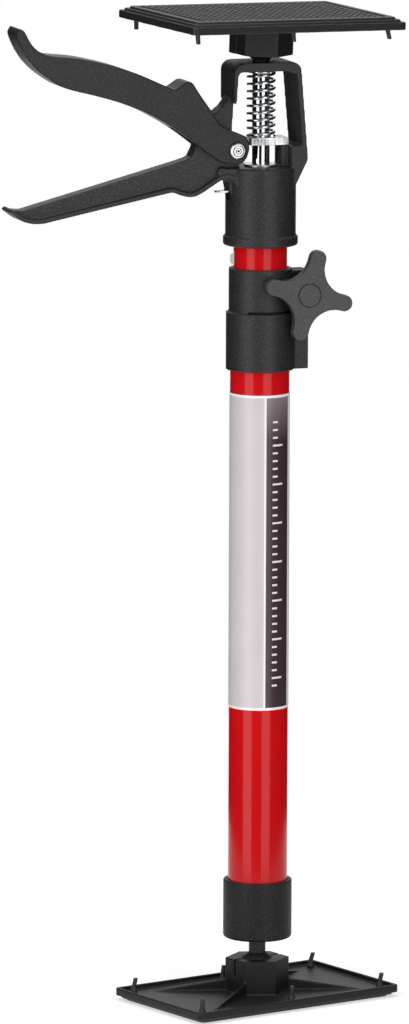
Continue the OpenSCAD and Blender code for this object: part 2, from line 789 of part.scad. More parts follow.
function coil_faces(n) = concat(
    [for (i = [0:n - 2], k = [0:coil_sides - 1])
        let (a = i * coil_sides + k, b = i * coil_sides + (k + 1) % coil_sides,
             c = b + coil_sides, d = a + coil_sides)
        each [[a, b, c], [a, c, d]]],
    [for (k = [1:coil_sides - 2]) [0, k + 1, k]],
    [for (k = [1:coil_sides - 2])
        let (e = (n - 1) * coil_sides) [e, e + k, e + k + 1]]);

// Least gap between one curl and the rest, measured on the ring centres
function coil_gap(path, wire) =
    min([for (i = [0:len(path) - 1], j = [0:len(path) - 1])
        if (j >= i + coil_rings - 2) norm(path[j][0] - path[i][0])]) - wire;

module coil(r, wire, h, curls, name) {
    path = coil_path(r, wire, h, curls);
    echo(str("least gap of ", name, " in mm"), coil_gap(path, wire));
    polyhedron(points = coil_points(path, wire), faces = coil_faces(len(path)), convexity = 10);
}

module release_spring() {
    wire = 1.2;
    r = 8.4;
    color(zinc)
        translate([0, 0, inner_top + seat_t + fit])
            coil(r, wire, release_z - inner_top - seat_t - 2 * fit, 2, "release_spring");
}

spring_start = 165;

module drive_spring() {
    foot = head_top + drive_h + 3 * drive_t;
    color(chrome)
        translate([0, 0, foot + fit])
            rotate([0, 0, spring_start])
                coil((spring_d - wire_d) / 2, wire_d, window_top - foot - 2 * fit,
                    spring_curls, "drive_spring");
}

// The drive plates lie on each other. The trigger lifts their narrow end, which reaches
// in between its cheeks, and the shoulder holds the other end.
drive_end_x = pivot_x - pivot_boss_r - 0.7;
drive_end_w = 5.2;

module drive_plate(i) {
    color(zinc)
        translate([0, 0, head_top + drive_h + (i - 1) * drive_t])
            difference() {
                union() {
                    translate([-drive_left, -drive_depth / 2, 0])
                        cube([drive_left + drive_right, drive_depth, drive_t]);
                    translate([-drive_end_x, -drive_end_w / 2, 0])
                        cube([drive_end_x, drive_end_w, drive_t]);
                }
                translate([0, 0, -cut]) cylinder(r = rod_r + 2 * play, h = drive_t + 2 * cut);
            }
}

module drive_plate_1() { drive_plate(1); }
module drive_plate_2() { drive_plate(2); }
module drive_plate_3() { drive_plate(3); }

// Trigger, drawn from its pivot as shares of its length
trigger_top_shares = [
    [-0.9829, 0.5582], [-0.9609, 0.5461], [-0.9389, 0.5054], [-0.9165, 0.4752],
    [-0.8875, 0.4531], [-0.8382, 0.4362], [-0.7342, 0.4244], [-0.6621, 0.411], [-0.5832, 0.3917],
    [-0.5084, 0.3681], [-0.4341, 0.34], [-0.3567, 0.3052], [-0.285, 0.2735]];
trigger_bump_shares = [
    [-0.285, 0.2735], [-0.2634, 0.2855], [-0.2331, 0.3061], [-0.2138, 0.3073], [-0.2, 0.2965]];
trigger_neck_shares = [
    [-0.2, 0.2965], [-0.1689, 0.2477], [-0.1212, 0.1812], [-0.0783, 0.1177], [-0.0491, 0.101],
    [-0.022, 0.0868], [0.0062, 0.0755], [0.0355, 0.0611], [0.0535, 0.0336], [0.0532, -0.0001]];
trigger_low_shares = [
    [0.0531, -0.0011], [0.0407, -0.0354], [0.018, -0.0555], [-0.0162, -0.059],
    [-0.0719, -0.0463], [-0.1408, -0.0017], [-0.2018, 0.0454], [-0.2615, 0.0889],
    [-0.3182, 0.1256], [-0.3769, 0.1586], [-0.4323, 0.1864], [-0.4905, 0.2091],
    [-0.5443, 0.2288], [-0.6494, 0.2597], [-0.7374, 0.282], [-0.8063, 0.3072], [-0.8796, 0.3557],
    [-0.92, 0.3926], [-0.9536, 0.4347], [-0.9846, 0.4923], [-0.9982, 0.533]];
grip_end = 4;

module trigger() {
    top = curve(scaled(trigger_top_shares, trigger_l));
    low = curve(scaled(trigger_low_shares, trigger_l), 3);
    outline = concat(top,
        scaled(trigger_bump_shares, trigger_l),
        curve(scaled(trigger_neck_shares, trigger_l), 3), low);
    // hollow of the grip: under the upper edge, open downwards
    hollow_top = [for (p = beside(top, -trigger_wall)) if (p[0] > -0.86 * trigger_l && p[0] < -0.33 * trigger_l) p];
    hollow_low = [for (p = beside(low, -trigger_wall)) if (p[0] > -0.86 * trigger_l && p[0] < -0.33 * trigger_l) p];
    slot_r = 0.3 * trigger_l;
    nose_in = pivot_boss_r + free;
    nose_out = pivot_boss_r + 5 * free;
    nose_top = drive_h - pivot_h - 2 * play;
    color(black_plastic)
        translate([pivot[0], 0, pivot[1]]) {
            difference() {
                upright(trigger_t, outline);
                upright(trigger_t - 2 * trigger_wall, concat(hollow_top, hollow_low));
                rotate([90, 0, 0]) cylinder(r = slot_r, h = web_t + 3 * free, center = true);
                rotate([90, 0, 0]) cylinder(r = pin_d / 2 + fit, h = 2 * trigger_t, center = true);
            }
            // nose between the cheeks, which lifts the drive plates
            translate([nose_in, -web_t / 2 - 2 * free, -nose_top])
                cube([nose_out - nose_in, web_t + 4 * free, 2 * nose_top]);
        }
}

module pivot_pin() {
    head_h = 1.5;
    tail = trigger_t / 2 + 2.2;
    color(chrome)
        translate([pivot[0], 0, pivot[1]]) rotate([90, 0, 0]) {
            translate([0, 0, -tail]) cylinder(d = pin_d, h = tail + trigger_t / 2 + play + fit);
            translate([0, 0, trigger_t / 2 + play])
                cylinder(d1 = pin_head_d, d2 = pin_head_d - 0.8 * head_h, h = head_h);
        }
}

module pivot_clip() {
    clip_t = 1;
    color(zinc)
        translate([pivot[0], trigger_t / 2 + play, pivot[1]]) rotate([-90, 0, 0])
            tube(pin_head_d / 2, pin_d / 2, clip_t);
}

// Push rod and what is on it
rod_z = inner_z + rod_lift;
rod_stop_h = 4;
rod_end_shoulder = window_top + 1;
spigot_r = 2.5;
spigot_l = 12;

module push_rod() {
    color(chrome)
        translate([0, 0, rod_z])
            difference() {
                cylinder(r = rod_r, h = rod_end_shoulder - fit - rod_z);
                translate([0, 0, rod_end_shoulder - spigot_l - free - rod_z])
                    cylinder(r = spigot_r, h = 2 * spigot_l);
            }
}

// Disc that guides the lower end of the rod and keeps it from being drawn out
module rod_stop() {
    color("#e8e6df") translate([0, 0, rod_z]) tube(inner_bore_r - free, rod_r, rod_stop_h);
}

// Stud in the top of the rod, on which the head ball sits
module rod_end() {
    color(black_cast)
        difference() {
            union() {
                translate([0, 0, rod_end_shoulder - spigot_l])
                    cylinder(r = spigot_r - fit, h = spigot_l + fit);
                translate([0, 0, rod_end_shoulder])
                    cylinder(r = rod_r - play, h = head_ball_z - rod_end_shoulder);
            }
            translate([0, 0, head_ball_z]) sphere(r = ball_r + fit);
        }
}

foot_pad();
foot_plate();
foot_ball();
foot_stem();
stem_retainer();
foot_cup();
outer_tube();
label();
tube_clamp();
clamp_nut();
clamp_washer();
clamp_bolt();
star_knob();
knob_cap();
tube_glide();
inner_tube();
head_body();
guide_bush();
top_bush();
release_seat();
release_spring();
release_plate();
pivot_pin();
pivot_clip();
trigger();
drive_plate_1();
drive_plate_2();
drive_plate_3();
drive_spring();
push_rod();
rod_stop();
rod_end();
head_ball();
head_plate();
head_pad();
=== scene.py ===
import math
import bmesh
import bpy
from mathutils import Matrix, Vector


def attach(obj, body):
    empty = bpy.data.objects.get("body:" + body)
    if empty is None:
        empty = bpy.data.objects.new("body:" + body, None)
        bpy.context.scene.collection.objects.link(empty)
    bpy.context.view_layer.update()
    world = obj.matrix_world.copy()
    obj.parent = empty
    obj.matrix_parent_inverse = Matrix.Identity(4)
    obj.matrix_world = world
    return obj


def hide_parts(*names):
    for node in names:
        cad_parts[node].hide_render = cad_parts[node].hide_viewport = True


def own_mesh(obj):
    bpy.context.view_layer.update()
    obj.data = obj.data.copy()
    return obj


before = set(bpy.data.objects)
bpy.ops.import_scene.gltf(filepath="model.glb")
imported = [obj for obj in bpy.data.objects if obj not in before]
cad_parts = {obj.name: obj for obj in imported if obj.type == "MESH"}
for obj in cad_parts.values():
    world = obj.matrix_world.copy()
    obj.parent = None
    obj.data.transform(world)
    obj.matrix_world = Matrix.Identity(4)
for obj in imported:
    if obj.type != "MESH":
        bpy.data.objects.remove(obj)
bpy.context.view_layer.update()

# Foot pad and head pad: a rubber mat pressed into each plate, with a knurled gripping face.
# Natural rubber, compression moulded in one shot with its six pull-through studs.
# The studs are pulled through holes in the plate and their cut tails lean a little.
MM = 0.001
PLATE, PLATE_CORNER, PLATE_FLOOR = (125.5, 77.0), 2.5, 1.8
PAD_T = 2.2
LEDGE_INSET, FACE_INSET, BORDER = 2.0, 4.0, 3.5
FIELD_INSET = FACE_INSET + BORDER
# inset from the plate's outline, and height, of each edge of the mat from its back to its field
PAD_EDGES = ((LEDGE_INSET, 0), (LEDGE_INSET - 0.01, -0.15), (LEDGE_INSET, -0.9),
             (LEDGE_INSET + 0.2, -1.1), (FACE_INSET, -1.15), (FACE_INSET, -2.0),
             (FACE_INSET + 0.2, -PAD_T))
GROOVE_PITCH, GROOVE_W, GROOVE_D = 3.9, 1.1, 0.5
DASH_PITCH, DASH_GAP = 4.5, 1.0
ROWS, COLUMNS, BLOCK_TOP_SHARE = 27, 14, 0.6
KNURL_SIZES = (("Length", (ROWS - 1) * GROOVE_PITCH), ("Width", (COLUMNS - 1) * DASH_PITCH),
               ("Block Length", GROOVE_PITCH - GROOVE_W), ("Block Width", DASH_PITCH - DASH_GAP),
               ("Block Height", GROOVE_D))
STUD_PLACES = ((-1, 1), (-1, -1), (0, -1), (0, 1), (1, -1), (1, 1))
STUD_LEANS = ((4, 8), (0, 2), (5, 0), (0, 6), (3, 9), (2, 14))
STUD_X, STUD_Y, STUD_R, STUD_H, STUD_SIDES = 56.0, 30.5, 1.3, 9.5, 20
# radius and height of each ring of a stud, from its root over its bulb to its cut end
STUD_RINGS = ((STUD_R, -0.05), (STUD_R, PLATE_FLOOR + 0.1), (1.75, PLATE_FLOOR + 0.15),
              (1.95, PLATE_FLOOR + 0.5), (1.93, PLATE_FLOOR + 1.0), (1.65, PLATE_FLOOR + 1.7),
              (1.3, PLATE_FLOOR + 2.5), (1.2, PLATE_FLOOR + 3.4), (1.17, 6.6), (1.15, 7.9),
              (1.12, STUD_H - 0.3), (0.95, STUD_H - 0.05))
BULB_H, BEND_RUN = 1.9, 4.0
HEAD_BALL_Z, BALL_UP = 493.6, 14.2
FOOT_TURN, HEAD_TURN, HEAD_LEAN_X, HEAD_LEAN_Y = 17.6, 13.1, 1.8, 1.6


def linear(code):
    """An sRGB hex colour as linear red, green, blue and alpha."""
    parts = [int(code[i:i + 2], 16) / 255 for i in (1, 3, 5)]
    return [c / 12.92 if c <= 0.04045 else ((c + 0.055) / 1.055) ** 2.4 for c in parts] + [1.0]


def add(tree, kind, into=None, **settings):
    """One node with its settings; a value of into that is a socket is linked, any other is set."""
    node = tree.nodes.new(kind)
    for key, value in settings.items():
        setattr(node, key, value)
    for key, value in (into or {}).items():
        if isinstance(value, bpy.types.NodeSocket):
            tree.links.new(value, node.inputs[key])
        else:
            node.inputs[key].default_value = value
    return node


def new_material(name):
    """A material with nothing in it yet, and its tree."""
    material = bpy.data.materials.new(name)
    material.use_nodes = True
    material.node_tree.nodes.clear()
    return material, material.node_tree


def coated(tree, colour, rough, height, strength, depth_mm, **optics):
    """The finished surface: a colour and a roughness over a relief of a depth in millimetres."""
    relief = add(tree, "ShaderNodeBump", {"Height": height, "Strength": strength,
                                          "Distance": depth_mm * MM})
    skin = add(tree, "ShaderNodeBsdfPrincipled", {
        "Base Color": colour, "Roughness": rough, "Normal": relief.outputs["Normal"], **optics})
    add(tree, "ShaderNodeOutputMaterial", {"Surface": skin.outputs["BSDF"]})


# A pattern's size is in millimetres, some as a run over a count: three cloudy patches in 50 mm.
CLOUD_MM = 50 / 3


def grained(name, dark, light, rough, grain_mm, relief_mm, speck=0.5, wear="#5a5b5c", ior=1.46):
    """A moulded or sprayed skin with a cloudy tone and rubbed high spots.

    True grain is two or three tenths of a millimetre; grain_mm is coarser, so that it shows."""
    material, tree = new_material(name)
    place = add(tree, "ShaderNodeTexCoord").outputs["Object"]
    fine = add(tree, "ShaderNodeTexNoise", {"Vector": place, "Scale": 1000 / grain_mm,
                                            "Detail": 3.0, "Roughness": 0.6})
    cloud = add(tree, "ShaderNodeTexNoise", {"Vector": place, "Scale": 1000 / CLOUD_MM,
                                             "Detail": 2.0})
    specks = add(tree, "ShaderNodeValToRGB", {"Fac": fine.outputs["Fac"]})
    specks.color_ramp.elements[0].position = 0.5
    specks.color_ramp.elements[1].position = 0.78
    tone = add(tree, "ShaderNodeMix", {"Factor": cloud.outputs["Fac"], "A": linear(dark),
                                       "B": linear(light)}, data_type="RGBA")
    share = add(tree, "ShaderNodeMath", {0: specks.outputs["Color"], 1: speck},
                operation="MULTIPLY")
    rubbed = add(tree, "ShaderNodeMix", {"Factor": share.outputs[0], "A": tone.outputs["Result"],
                                         "B": linear(wear)}, data_type="RGBA")
    dull = add(tree, "ShaderNodeMapRange", {"Value": fine.outputs["Fac"], "To Min": rough + 0.08,
                                            "To Max": rough - 0.1})
    coated(tree, rubbed.outputs["Result"], dull.outputs["Result"], fine.outputs["Fac"], 0.55,
           relief_mm, IOR=ior)
    return material


# Moulded natural rubber: carbon black, matt, with a soft bloom on its raised grain.
rubber = grained("moulded_natural_rubber", "#272627", "#313031", 0.5, 0.9, 0.06, 0.3, "#58585a")


def rounded_outline(length, width, radius, steps=4):
    """Corner points of a rounded rectangle round the middle, in millimetres."""
    points = []
    for cx, cy, start in ((1, 1, 0), (-1, 1, 90), (-1, -1, 180), (1, -1, 270)):
        for i in range(steps + 1):
            a = math.radians(start + 90 * i / steps)
            points.append((cx * (length / 2 - radius) + radius * math.cos(a),
                           cy * (width / 2 - radius) + radius * math.sin(a)))
    return points


def loft(build, rings):
    """Skin between rings of the same number of points, capped at both ends."""
    made = [[build.verts.new(p) for p in ring] for ring in rings]
    for low, high in zip(made, made[1:]):
        for i in range(len(low)):
            j = (i + 1) % len(low)
            build.faces.new((low[i], low[j], high[j], high[i]))
    build.faces.new(list(reversed(made[0])))
    build.faces.new(made[-1])


def pad_body(build):
    """Mat, ledge and raised border of the pad, which stops round the knurled field."""
    border = ((FIELD_INSET - 0.15, -PAD_T), (FIELD_INSET, -PAD_T + GROOVE_D))
    loft(build, [[(x, y, z) for x, y in rounded_outline(
        PLATE[0] - 2 * inset, PLATE[1] - 2 * inset, PLATE_CORNER)]
        for inset, z in (*PAD_EDGES, *border)])


def stud(build, x, y, lean):
    """A stud: shank, round bulb over the plate floor and a tail that bends as it rises."""
    rings = []
    for radius, z in STUD_RINGS:
        rise = max(0.0, z - PLATE_FLOOR - BULB_H)
        bend = min(1.0, rise / BEND_RUN)
        dx = math.tan(math.radians(lean[1])) * rise * bend
        dy = -math.tan(math.radians(lean[0])) * rise * bend
        rings.append([(x + dx + radius * math.cos(a), y + dy + radius * math.sin(a), z)
                      for a in (2 * math.pi * k / STUD_SIDES for k in range(STUD_SIDES))])
    loft(build, rings)


def size_inputs(tree, kind, values):
    """A named input for each size, and the identifiers that a modifier sets them by."""
    known = {}
    for name, value in values:
        item = tree.interface.new_socket(name, in_out="INPUT", socket_type=kind)
        item.default_value = value
        known[name] = item.identifier
    return known


def hand_out(tree, geometry, material):
    """The end of a tree: its shapes made real, in the material of the piece."""
    tree.interface.new_socket("Geometry", in_out="OUTPUT", socket_type="NodeSocketGeometry")
    real = add(tree, "GeometryNodeRealizeInstances", {"Geometry": geometry})
    dressed = add(tree, "GeometryNodeSetMaterial", {"Geometry": real.outputs["Geometry"],
                                                    "Material": material})
    add(tree, "NodeGroupOutput", {"Geometry": dressed.outputs["Geometry"]})


def knurl_tree(material):
    """Knurled field: a grid of blunt blocks, each a four-sided cone cut off short."""
    tree = bpy.data.node_groups.new("pad_knurl", "GeometryNodeTree")
    known = size_inputs(tree, "NodeSocketInt", (("Rows", ROWS), ("Columns", COLUMNS)))
    known.update(size_inputs(tree, "NodeSocketFloat",
                             [(name, value * MM) for name, value in KNURL_SIZES]))
    given = add(tree, "NodeGroupInput").outputs
    spots = add(tree, "GeometryNodeMeshGrid", {
        "Size X": given["Length"], "Size Y": given["Width"],
        "Vertices X": given["Rows"], "Vertices Y": given["Columns"]})
    # turned by an eighth, the cone's foot is a unit square
    block = add(tree, "GeometryNodeMeshCone", {
        "Vertices": 4, "Side Segments": 1, "Radius Top": BLOCK_TOP_SHARE,
        "Radius Bottom": math.sqrt(0.5), "Depth": 1.0}, fill_type="TRIANGLE_FAN")
    turned = add(tree, "GeometryNodeTransform", {"Geometry": block.outputs["Mesh"],
                                                 "Rotation": (0.0, 0.0, math.radians(45))})
    size = add(tree, "ShaderNodeCombineXYZ", {"X": given["Block Length"],
                                              "Y": given["Block Width"],
                                              "Z": given["Block Height"]})
    scattered = add(tree, "GeometryNodeInstanceOnPoints", {
        "Points": spots.outputs["Mesh"], "Instance": turned.outputs["Geometry"],
        "Scale": size.outputs["Vector"]})
    hand_out(tree, scattered.outputs["Instances"], material)
    return tree, known


def plain_mesh(source):
    """The evaluated shape of an object as a mesh of its own; the source object goes away."""
    bpy.context.view_layer.update()
    shape = bpy.data.meshes.new_from_object(
        source.evaluated_get(bpy.context.evaluated_depsgraph_get()))
    old = source.data
    bpy.data.objects.remove(source)
    bpy.data.meshes.remove(old)
    return shape


def scratch(shape):
    """A throwaway object that carries modifiers until its shape is taken from it."""
    made = bpy.data.objects.new("scratch", shape)
    bpy.context.scene.collection.objects.link(made)
    return made


knurl, knurl_sizes = knurl_tree(rubber)
bearer = scratch(bpy.data.meshes.new("bearer"))
grid = bearer.modifiers.new("knurl", "NODES")
grid.node_group = knurl
grid[knurl_sizes["Rows"]], grid[knurl_sizes["Columns"]] = ROWS, COLUMNS
for name, value in KNURL_SIZES:
    grid[knurl_sizes[name]] = value * MM
knurl_mesh = plain_mesh(bearer)


def piece(name, shape, body, material, slot, *nodes):
    """A finished piece with its material, on its body and in place of its CAD nodes."""
    shape.name = name
    shape.materials.clear()
    shape.materials.append(material)
    made = bpy.data.objects.new(name, shape)
    bpy.context.scene.collection.objects.link(made)
    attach(made, body)
    if nodes:
        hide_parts(*nodes)
    return made


def mesh_of(build, sharp=40):
    """A bmesh in millimetres as a smooth mesh in metres, creased past the sharp angle."""
    bmesh.ops.remove_doubles(build, verts=build.verts, dist=1e-4)
    bmesh.ops.recalc_face_normals(build, faces=build.faces)
    build.transform(Matrix.Scale(MM, 4))
    shape = bpy.data.meshes.new("shape")
    build.to_mesh(shape)
    build.free()
    shape.shade_smooth()
    if sharp:
        shape.set_sharp_from_angle(angle=math.radians(sharp))
    return shape


FOOT = Matrix.Translation((0, 0, PAD_T)) @ Matrix.Rotation(math.radians(FOOT_TURN), 4, "Z")
HEAD = (Matrix.Translation((0, 0, HEAD_BALL_Z)) @ Matrix.Rotation(math.radians(HEAD_TURN), 4, "Z")
        @ Matrix.Rotation(math.radians(HEAD_LEAN_X), 4, "X")
        @ Matrix.Rotation(math.radians(HEAD_LEAN_Y), 4, "Y")
        @ Matrix.Rotation(math.pi, 4, "X") @ Matrix.Translation((0, 0, -BALL_UP)))
for node, place, body in (("foot_pad", FOOT, "foot"), ("head_pad", HEAD, "head_plate")):
    build = bmesh.new()
    pad_body(build)
    for (sx, sy), lean in zip(STUD_PLACES, STUD_LEANS):
        stud(build, sx * STUD_X, sy * STUD_Y, lean)
    bmesh.ops.recalc_face_normals(build, faces=build.faces)
    knurls = knurl_mesh.copy()
    knurls.transform(Matrix.Scale(1000, 4))
    # the blocks hang below the mat: turned over, with their wide end on its sunk floor
    knurls.transform(Matrix.Translation((0, 0, -PAD_T + GROOVE_D))
                     @ Matrix.Rotation(math.pi, 4, "X"))
    build.from_mesh(knurls)
    bpy.data.meshes.remove(knurls)
    build.transform(place)
    piece(node + "_rubber", mesh_of(build, sharp=35), body, rubber, "rubber", node)


# Foot plate and head plate: shallow trays with four corner ribs and a six-sided ball socket.
# Glass-filled nylon, injection moulded; the socket is slotted so that it snaps over the ball.
# The mould is spark-eroded, which leaves a fine even grain and soft edges.
nylon_black = grained("glass_filled_nylon_spark_grain", "#181617", "#201e1f", 0.5, 0.7, 0.05, 0.22)
# the foot plate is a darker copy of the nylon, painted shade, and mirrors less of the room
foot_nylon = grained("shaded_foot_nylon", "#121011", "#191718", 0.5, 0.7, 0.05, 0.22, ior=1.37)


def welded(node, flat=0):
    """A CAD node's loose triangles, welded in a throwaway object and joined where flat."""
    build = bmesh.new()
    build.from_mesh(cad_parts[node].data)
    bmesh.ops.remove_doubles(build, verts=build.verts, dist=1e-6)
    if flat:
        bmesh.ops.dissolve_limit(build, angle_limit=math.radians(flat), verts=build.verts,
                                 edges=build.edges)
    shape = bpy.data.meshes.new("welded")
    build.to_mesh(shape)
    build.free()
    return scratch(shape)


def milling_cutter(low, high):
    """A throwaway box between two corners in millimetres, for cutting."""
    build = bmesh.new()
    bmesh.ops.create_cube(build, size=1.0)
    middle, span = (Vector(low) + Vector(high)) / 2, Vector(high) - Vector(low)
    build.transform(Matrix.Scale(MM, 4) @ Matrix.Translation(middle)
                    @ Matrix.Diagonal((*span, 1.0)))
    shape = bpy.data.meshes.new("cutter")
    build.to_mesh(shape)
    build.free()
    return scratch(shape)


def softened(name, node, body, material, slot, voxel, rounds, share, cuts=()):
    """A copy of a CAD solid with the soft edges and fillets that a mould or die gives it.

    The voxel is in millimetres, rounds counts the smoothing passes and share is the part of the
    faces that stays. Each cut is a box's low and high corner, and is milled away first."""
    source = welded(node)
    cutters = [milling_cutter(*cut) for cut in cuts]
    for cutter in cutters:
        mill = source.modifiers.new("mill", "BOOLEAN")
        mill.operation = "DIFFERENCE"
        mill.object = cutter
    skin = source.modifiers.new("skin", "REMESH")
    skin.mode = "VOXEL"
    skin.voxel_size = voxel * MM
    ease = source.modifiers.new("ease", "SMOOTH")
    ease.factor = 0.5
    ease.iterations = rounds
    thin = source.modifiers.new("thin", "DECIMATE")
    thin.ratio = share
    shape = plain_mesh(source)
    shape.shade_smooth()
    for cutter in cutters:
        old = cutter.data
        bpy.data.objects.remove(cutter)
        bpy.data.meshes.remove(old)
    return piece(name, shape, body, material, slot, node)


softened("foot_plate_moulding", "foot_plate", "foot", foot_nylon, "black_plastic",
         voxel=0.5, rounds=2, share=0.35)


# Foot ball and stem: a ball-ended stem on which the whole pole tilts; it turns in the foot cup.
# Die-cast and powder coated, which gives a satin black with a faint pale speckle.
# The ball snaps into the socket of the plate.
BALL_R, SEAT_R, FOOT_BALL_Z = 9.0, 9.06, 16.4
STEM_R, STEM_HEAD_R, STEM_HEAD_LOW, STEM_HEAD_TOP = 4.3, 7.5, 38.05, 41.35
powder_black = grained("black_powder_coat_on_casting", "#19191a", "#222223", 0.5, 0.75, 0.09, 0.36,
                       "#6a6b6d")


def soft_profile(points, closed, steps=4):
    """Profile of (radius, height, fillet) points, its corners rounded and held by edge loops."""
    count = len(points)
    line = []
    for i, point in enumerate(points):
        here = Vector(point[:2])
        fillet = point[2] if len(point) > 2 else 0
        if fillet <= 0 or (not closed and i in (0, count - 1)):
            line.append(here)
            continue
        before, after = Vector(points[i - 1][:2]), Vector(points[(i + 1) % count][:2])
        a, b = (before - here).normalized(), (after - here).normalized()
        half = a.angle(b) / 2
        reach = min(fillet / math.tan(half), 0.45 * (before - here).length,
                    0.45 * (after - here).length)
        radius = reach * math.tan(half)
        middle = here + (a + b).normalized() * (radius / math.sin(half))
        start, stop = here + a * reach, here + b * reach
        line.append(start + a * min(0.12, 0.1 * (before - here).length))
        u, v = start - middle, stop - middle
        turn = u.angle(v)
        for k in range(steps + 1):
            t = k / steps
            line.append(middle + (u * math.sin((1 - t) * turn) + v * math.sin(t * turn))
                        / math.sin(turn))
        line.append(stop + b * min(0.12, 0.1 * (after - here).length))
    return line


def turned_shape(points, closed=False, place=None, sides=96, sharp=40):
    """A turned or drawn part: its rounded profile spun round the pole's axis, or put in place."""
    line = soft_profile(points, closed)
    build = bmesh.new()
    rings = []
    for radius, z in line:
        if radius < 1e-6:
            rings.append([build.verts.new((0, 0, z))])
        else:
            rings.append([build.verts.new((radius * math.cos(2 * math.pi * k / sides),
                                           radius * math.sin(2 * math.pi * k / sides), z))
                          for k in range(sides)])
    for low, high in zip(rings, rings[1:] + (rings[:1] if closed else [])):
        if len(low) == 1 and len(high) == 1:
            continue
        for k in range(sides):
            m = (k + 1) % sides
            ring = [low[0]] if len(low) == 1 else [low[k], low[m]]
            ring += [high[0]] if len(high) == 1 else [high[m], high[k]]
            build.faces.new(ring)
    if place is not None:
        build.transform(place)
    return mesh_of(build, sharp=sharp)


def ball_points(middle, count=24):
    """Profile of a ball from its lower to its upper pole."""
    return [(BALL_R * math.sin(math.pi * i / count),
             middle - BALL_R * math.cos(math.pi * i / count)) for i in range(count + 1)]


def ball_seat(middle, reach, side, steps=8):
    """Profile of a hollow end that sits on a ball, from its rim in to the axis."""
    edge = math.asin(reach / SEAT_R)
    return [(SEAT_R * math.sin(edge * k / steps),
             middle + side * SEAT_R * math.cos(edge * k / steps)) for k in range(steps, -1, -1)]


piece("foot_ball_casting", turned_shape(ball_points(FOOT_BALL_Z), sharp=0), "foot_ball",
      powder_black, "black_cast", "foot_ball")
piece("foot_stem_casting", turned_shape([
    *reversed(ball_seat(FOOT_BALL_Z, STEM_R, 1)), (STEM_R, STEM_HEAD_LOW, 0.3),
    (STEM_HEAD_R, STEM_HEAD_LOW, 0.4), (STEM_HEAD_R, STEM_HEAD_TOP, 0.4), (0, STEM_HEAD_TOP)]),
    "foot_stem", powder_black, "black_cast", "foot_stem")


# Foot cup: the heavy socket at the lower end of the pole, pressed over the tube.
# Powder-coated casting with a rounded foot edge and a small chamfer round its mouth.
# A darker copy of the powder coat, for painted shade: blacker and shining less than the parts
# above.
CUP_Z, CUP_R, CUP_H, CUP_FLOOR, CUP_SEAT, CUP_HOLE_R = 32.5, 17.6, 30.3, 9.0, 5.5, 4.4
TUBE_R, TUBE_FIT, STEM_FIT = 15.25, 0.05, 0.1
shaded_cup_coat = grained("shaded_powder_coat_on_cup", "#101011", "#18181a", 0.5, 0.75, 0.09, 0.3,
                     "#5f6062", ior=1.34)
piece("foot_cup_casting", turned_shape([
    (CUP_HOLE_R, CUP_Z, 0.3), (CUP_R, CUP_Z, 1.5), (CUP_R, CUP_Z + CUP_H, 0.7),
    (TUBE_R + TUBE_FIT, CUP_Z + CUP_H, 0.4), (TUBE_R + TUBE_FIT, CUP_Z + CUP_FLOOR),
    (STEM_HEAD_R + STEM_FIT, CUP_Z + CUP_FLOOR), (STEM_HEAD_R + STEM_FIT, CUP_Z + CUP_SEAT),
    (CUP_HOLE_R, CUP_Z + CUP_SEAT)], closed=True), "tube", shaded_cup_coat, "black_cast", "foot_cup")


# Lower tube and upper tube: drawn steel tube, the upper one sliding in the lower.
# Welded precision tube with a gloss red paint, baked on, which mirrors the room in long strips.
# Its skin is smooth, with a faint orange peel and fine rubbed streaks from sliding.
TUBE_WALL, TUBE_LOW, TUBE_TOP, TUBE_END_ROUND = 1.2, 43.0, 355.0, 0.35
MAST_R, MAST_WALL, MAST_LOW, MAST_TOP = 13.75, 1.0, 49.0, 409.0
PEEL_MM, TONE_MM, STREAK_W, STREAK_L = 20 / 7, 40.0, 5 / 3, 500 / 3


def gloss_red():
    """Red with broad soft clouds, faint orange peel and fine streaks along the tube."""
    material, tree = new_material("baked_gloss_red_paint")
    place = add(tree, "ShaderNodeTexCoord").outputs["Object"]
    peel = add(tree, "ShaderNodeTexNoise", {"Vector": place, "Scale": 1000 / PEEL_MM,
                                            "Detail": 1.0})
    cloud = add(tree, "ShaderNodeTexNoise", {"Vector": place, "Scale": 1000 / TONE_MM,
                                             "Detail": 2.0})
    tone = add(tree, "ShaderNodeMix", {"Factor": cloud.outputs["Fac"], "A": linear("#c40e14"),
                                       "B": linear("#ce1218")}, data_type="RGBA")
    streak = add(tree, "ShaderNodeMapping", {
        "Vector": place, "Scale": (1000 / STREAK_W, 1000 / STREAK_W, 1000 / STREAK_L)})
    lines = add(tree, "ShaderNodeTexNoise", {"Vector": streak.outputs["Vector"], "Scale": 1.0,
                                             "Detail": 2.0})
    dull = add(tree, "ShaderNodeMapRange", {"Value": lines.outputs["Fac"], "To Min": 0.1,
                                            "To Max": 0.17})
    coated(tree, tone.outputs["Result"], dull.outputs["Result"], peel.outputs["Fac"], 0.25, 0.02,
           IOR=1.34)
    return material


red_paint = gloss_red()
for name, node, body, radius, wall, low, high in (
        ("lower_tube_painted", "outer_tube", "tube", TUBE_R, TUBE_WALL, TUBE_LOW, TUBE_TOP),
        ("upper_tube_painted", "inner_tube", "mast", MAST_R, MAST_WALL, MAST_LOW, MAST_TOP)):
    corners = ((radius, low), (radius, high), (radius - wall, high), (radius - wall, low))
    piece(name, turned_shape([(*corner, TUBE_END_ROUND) for corner in corners], closed=True,
                             sides=128), body, red_paint, "red_paint", node)


# Label: one printed film wrapped round the lower tube, its ends meeting at the back.
# White PVC film, screen printed: white rims, a warm light grey field and a dark stripe down one
# side, which holds a plain row of white ticks. The film is semi-gloss and ripples a little.
LABEL_LOW, LABEL_TOP, LABEL_SEAM, FILM_IN, FILM_OUT = 153.0, 315.5, 1.5, 0.03, 0.2
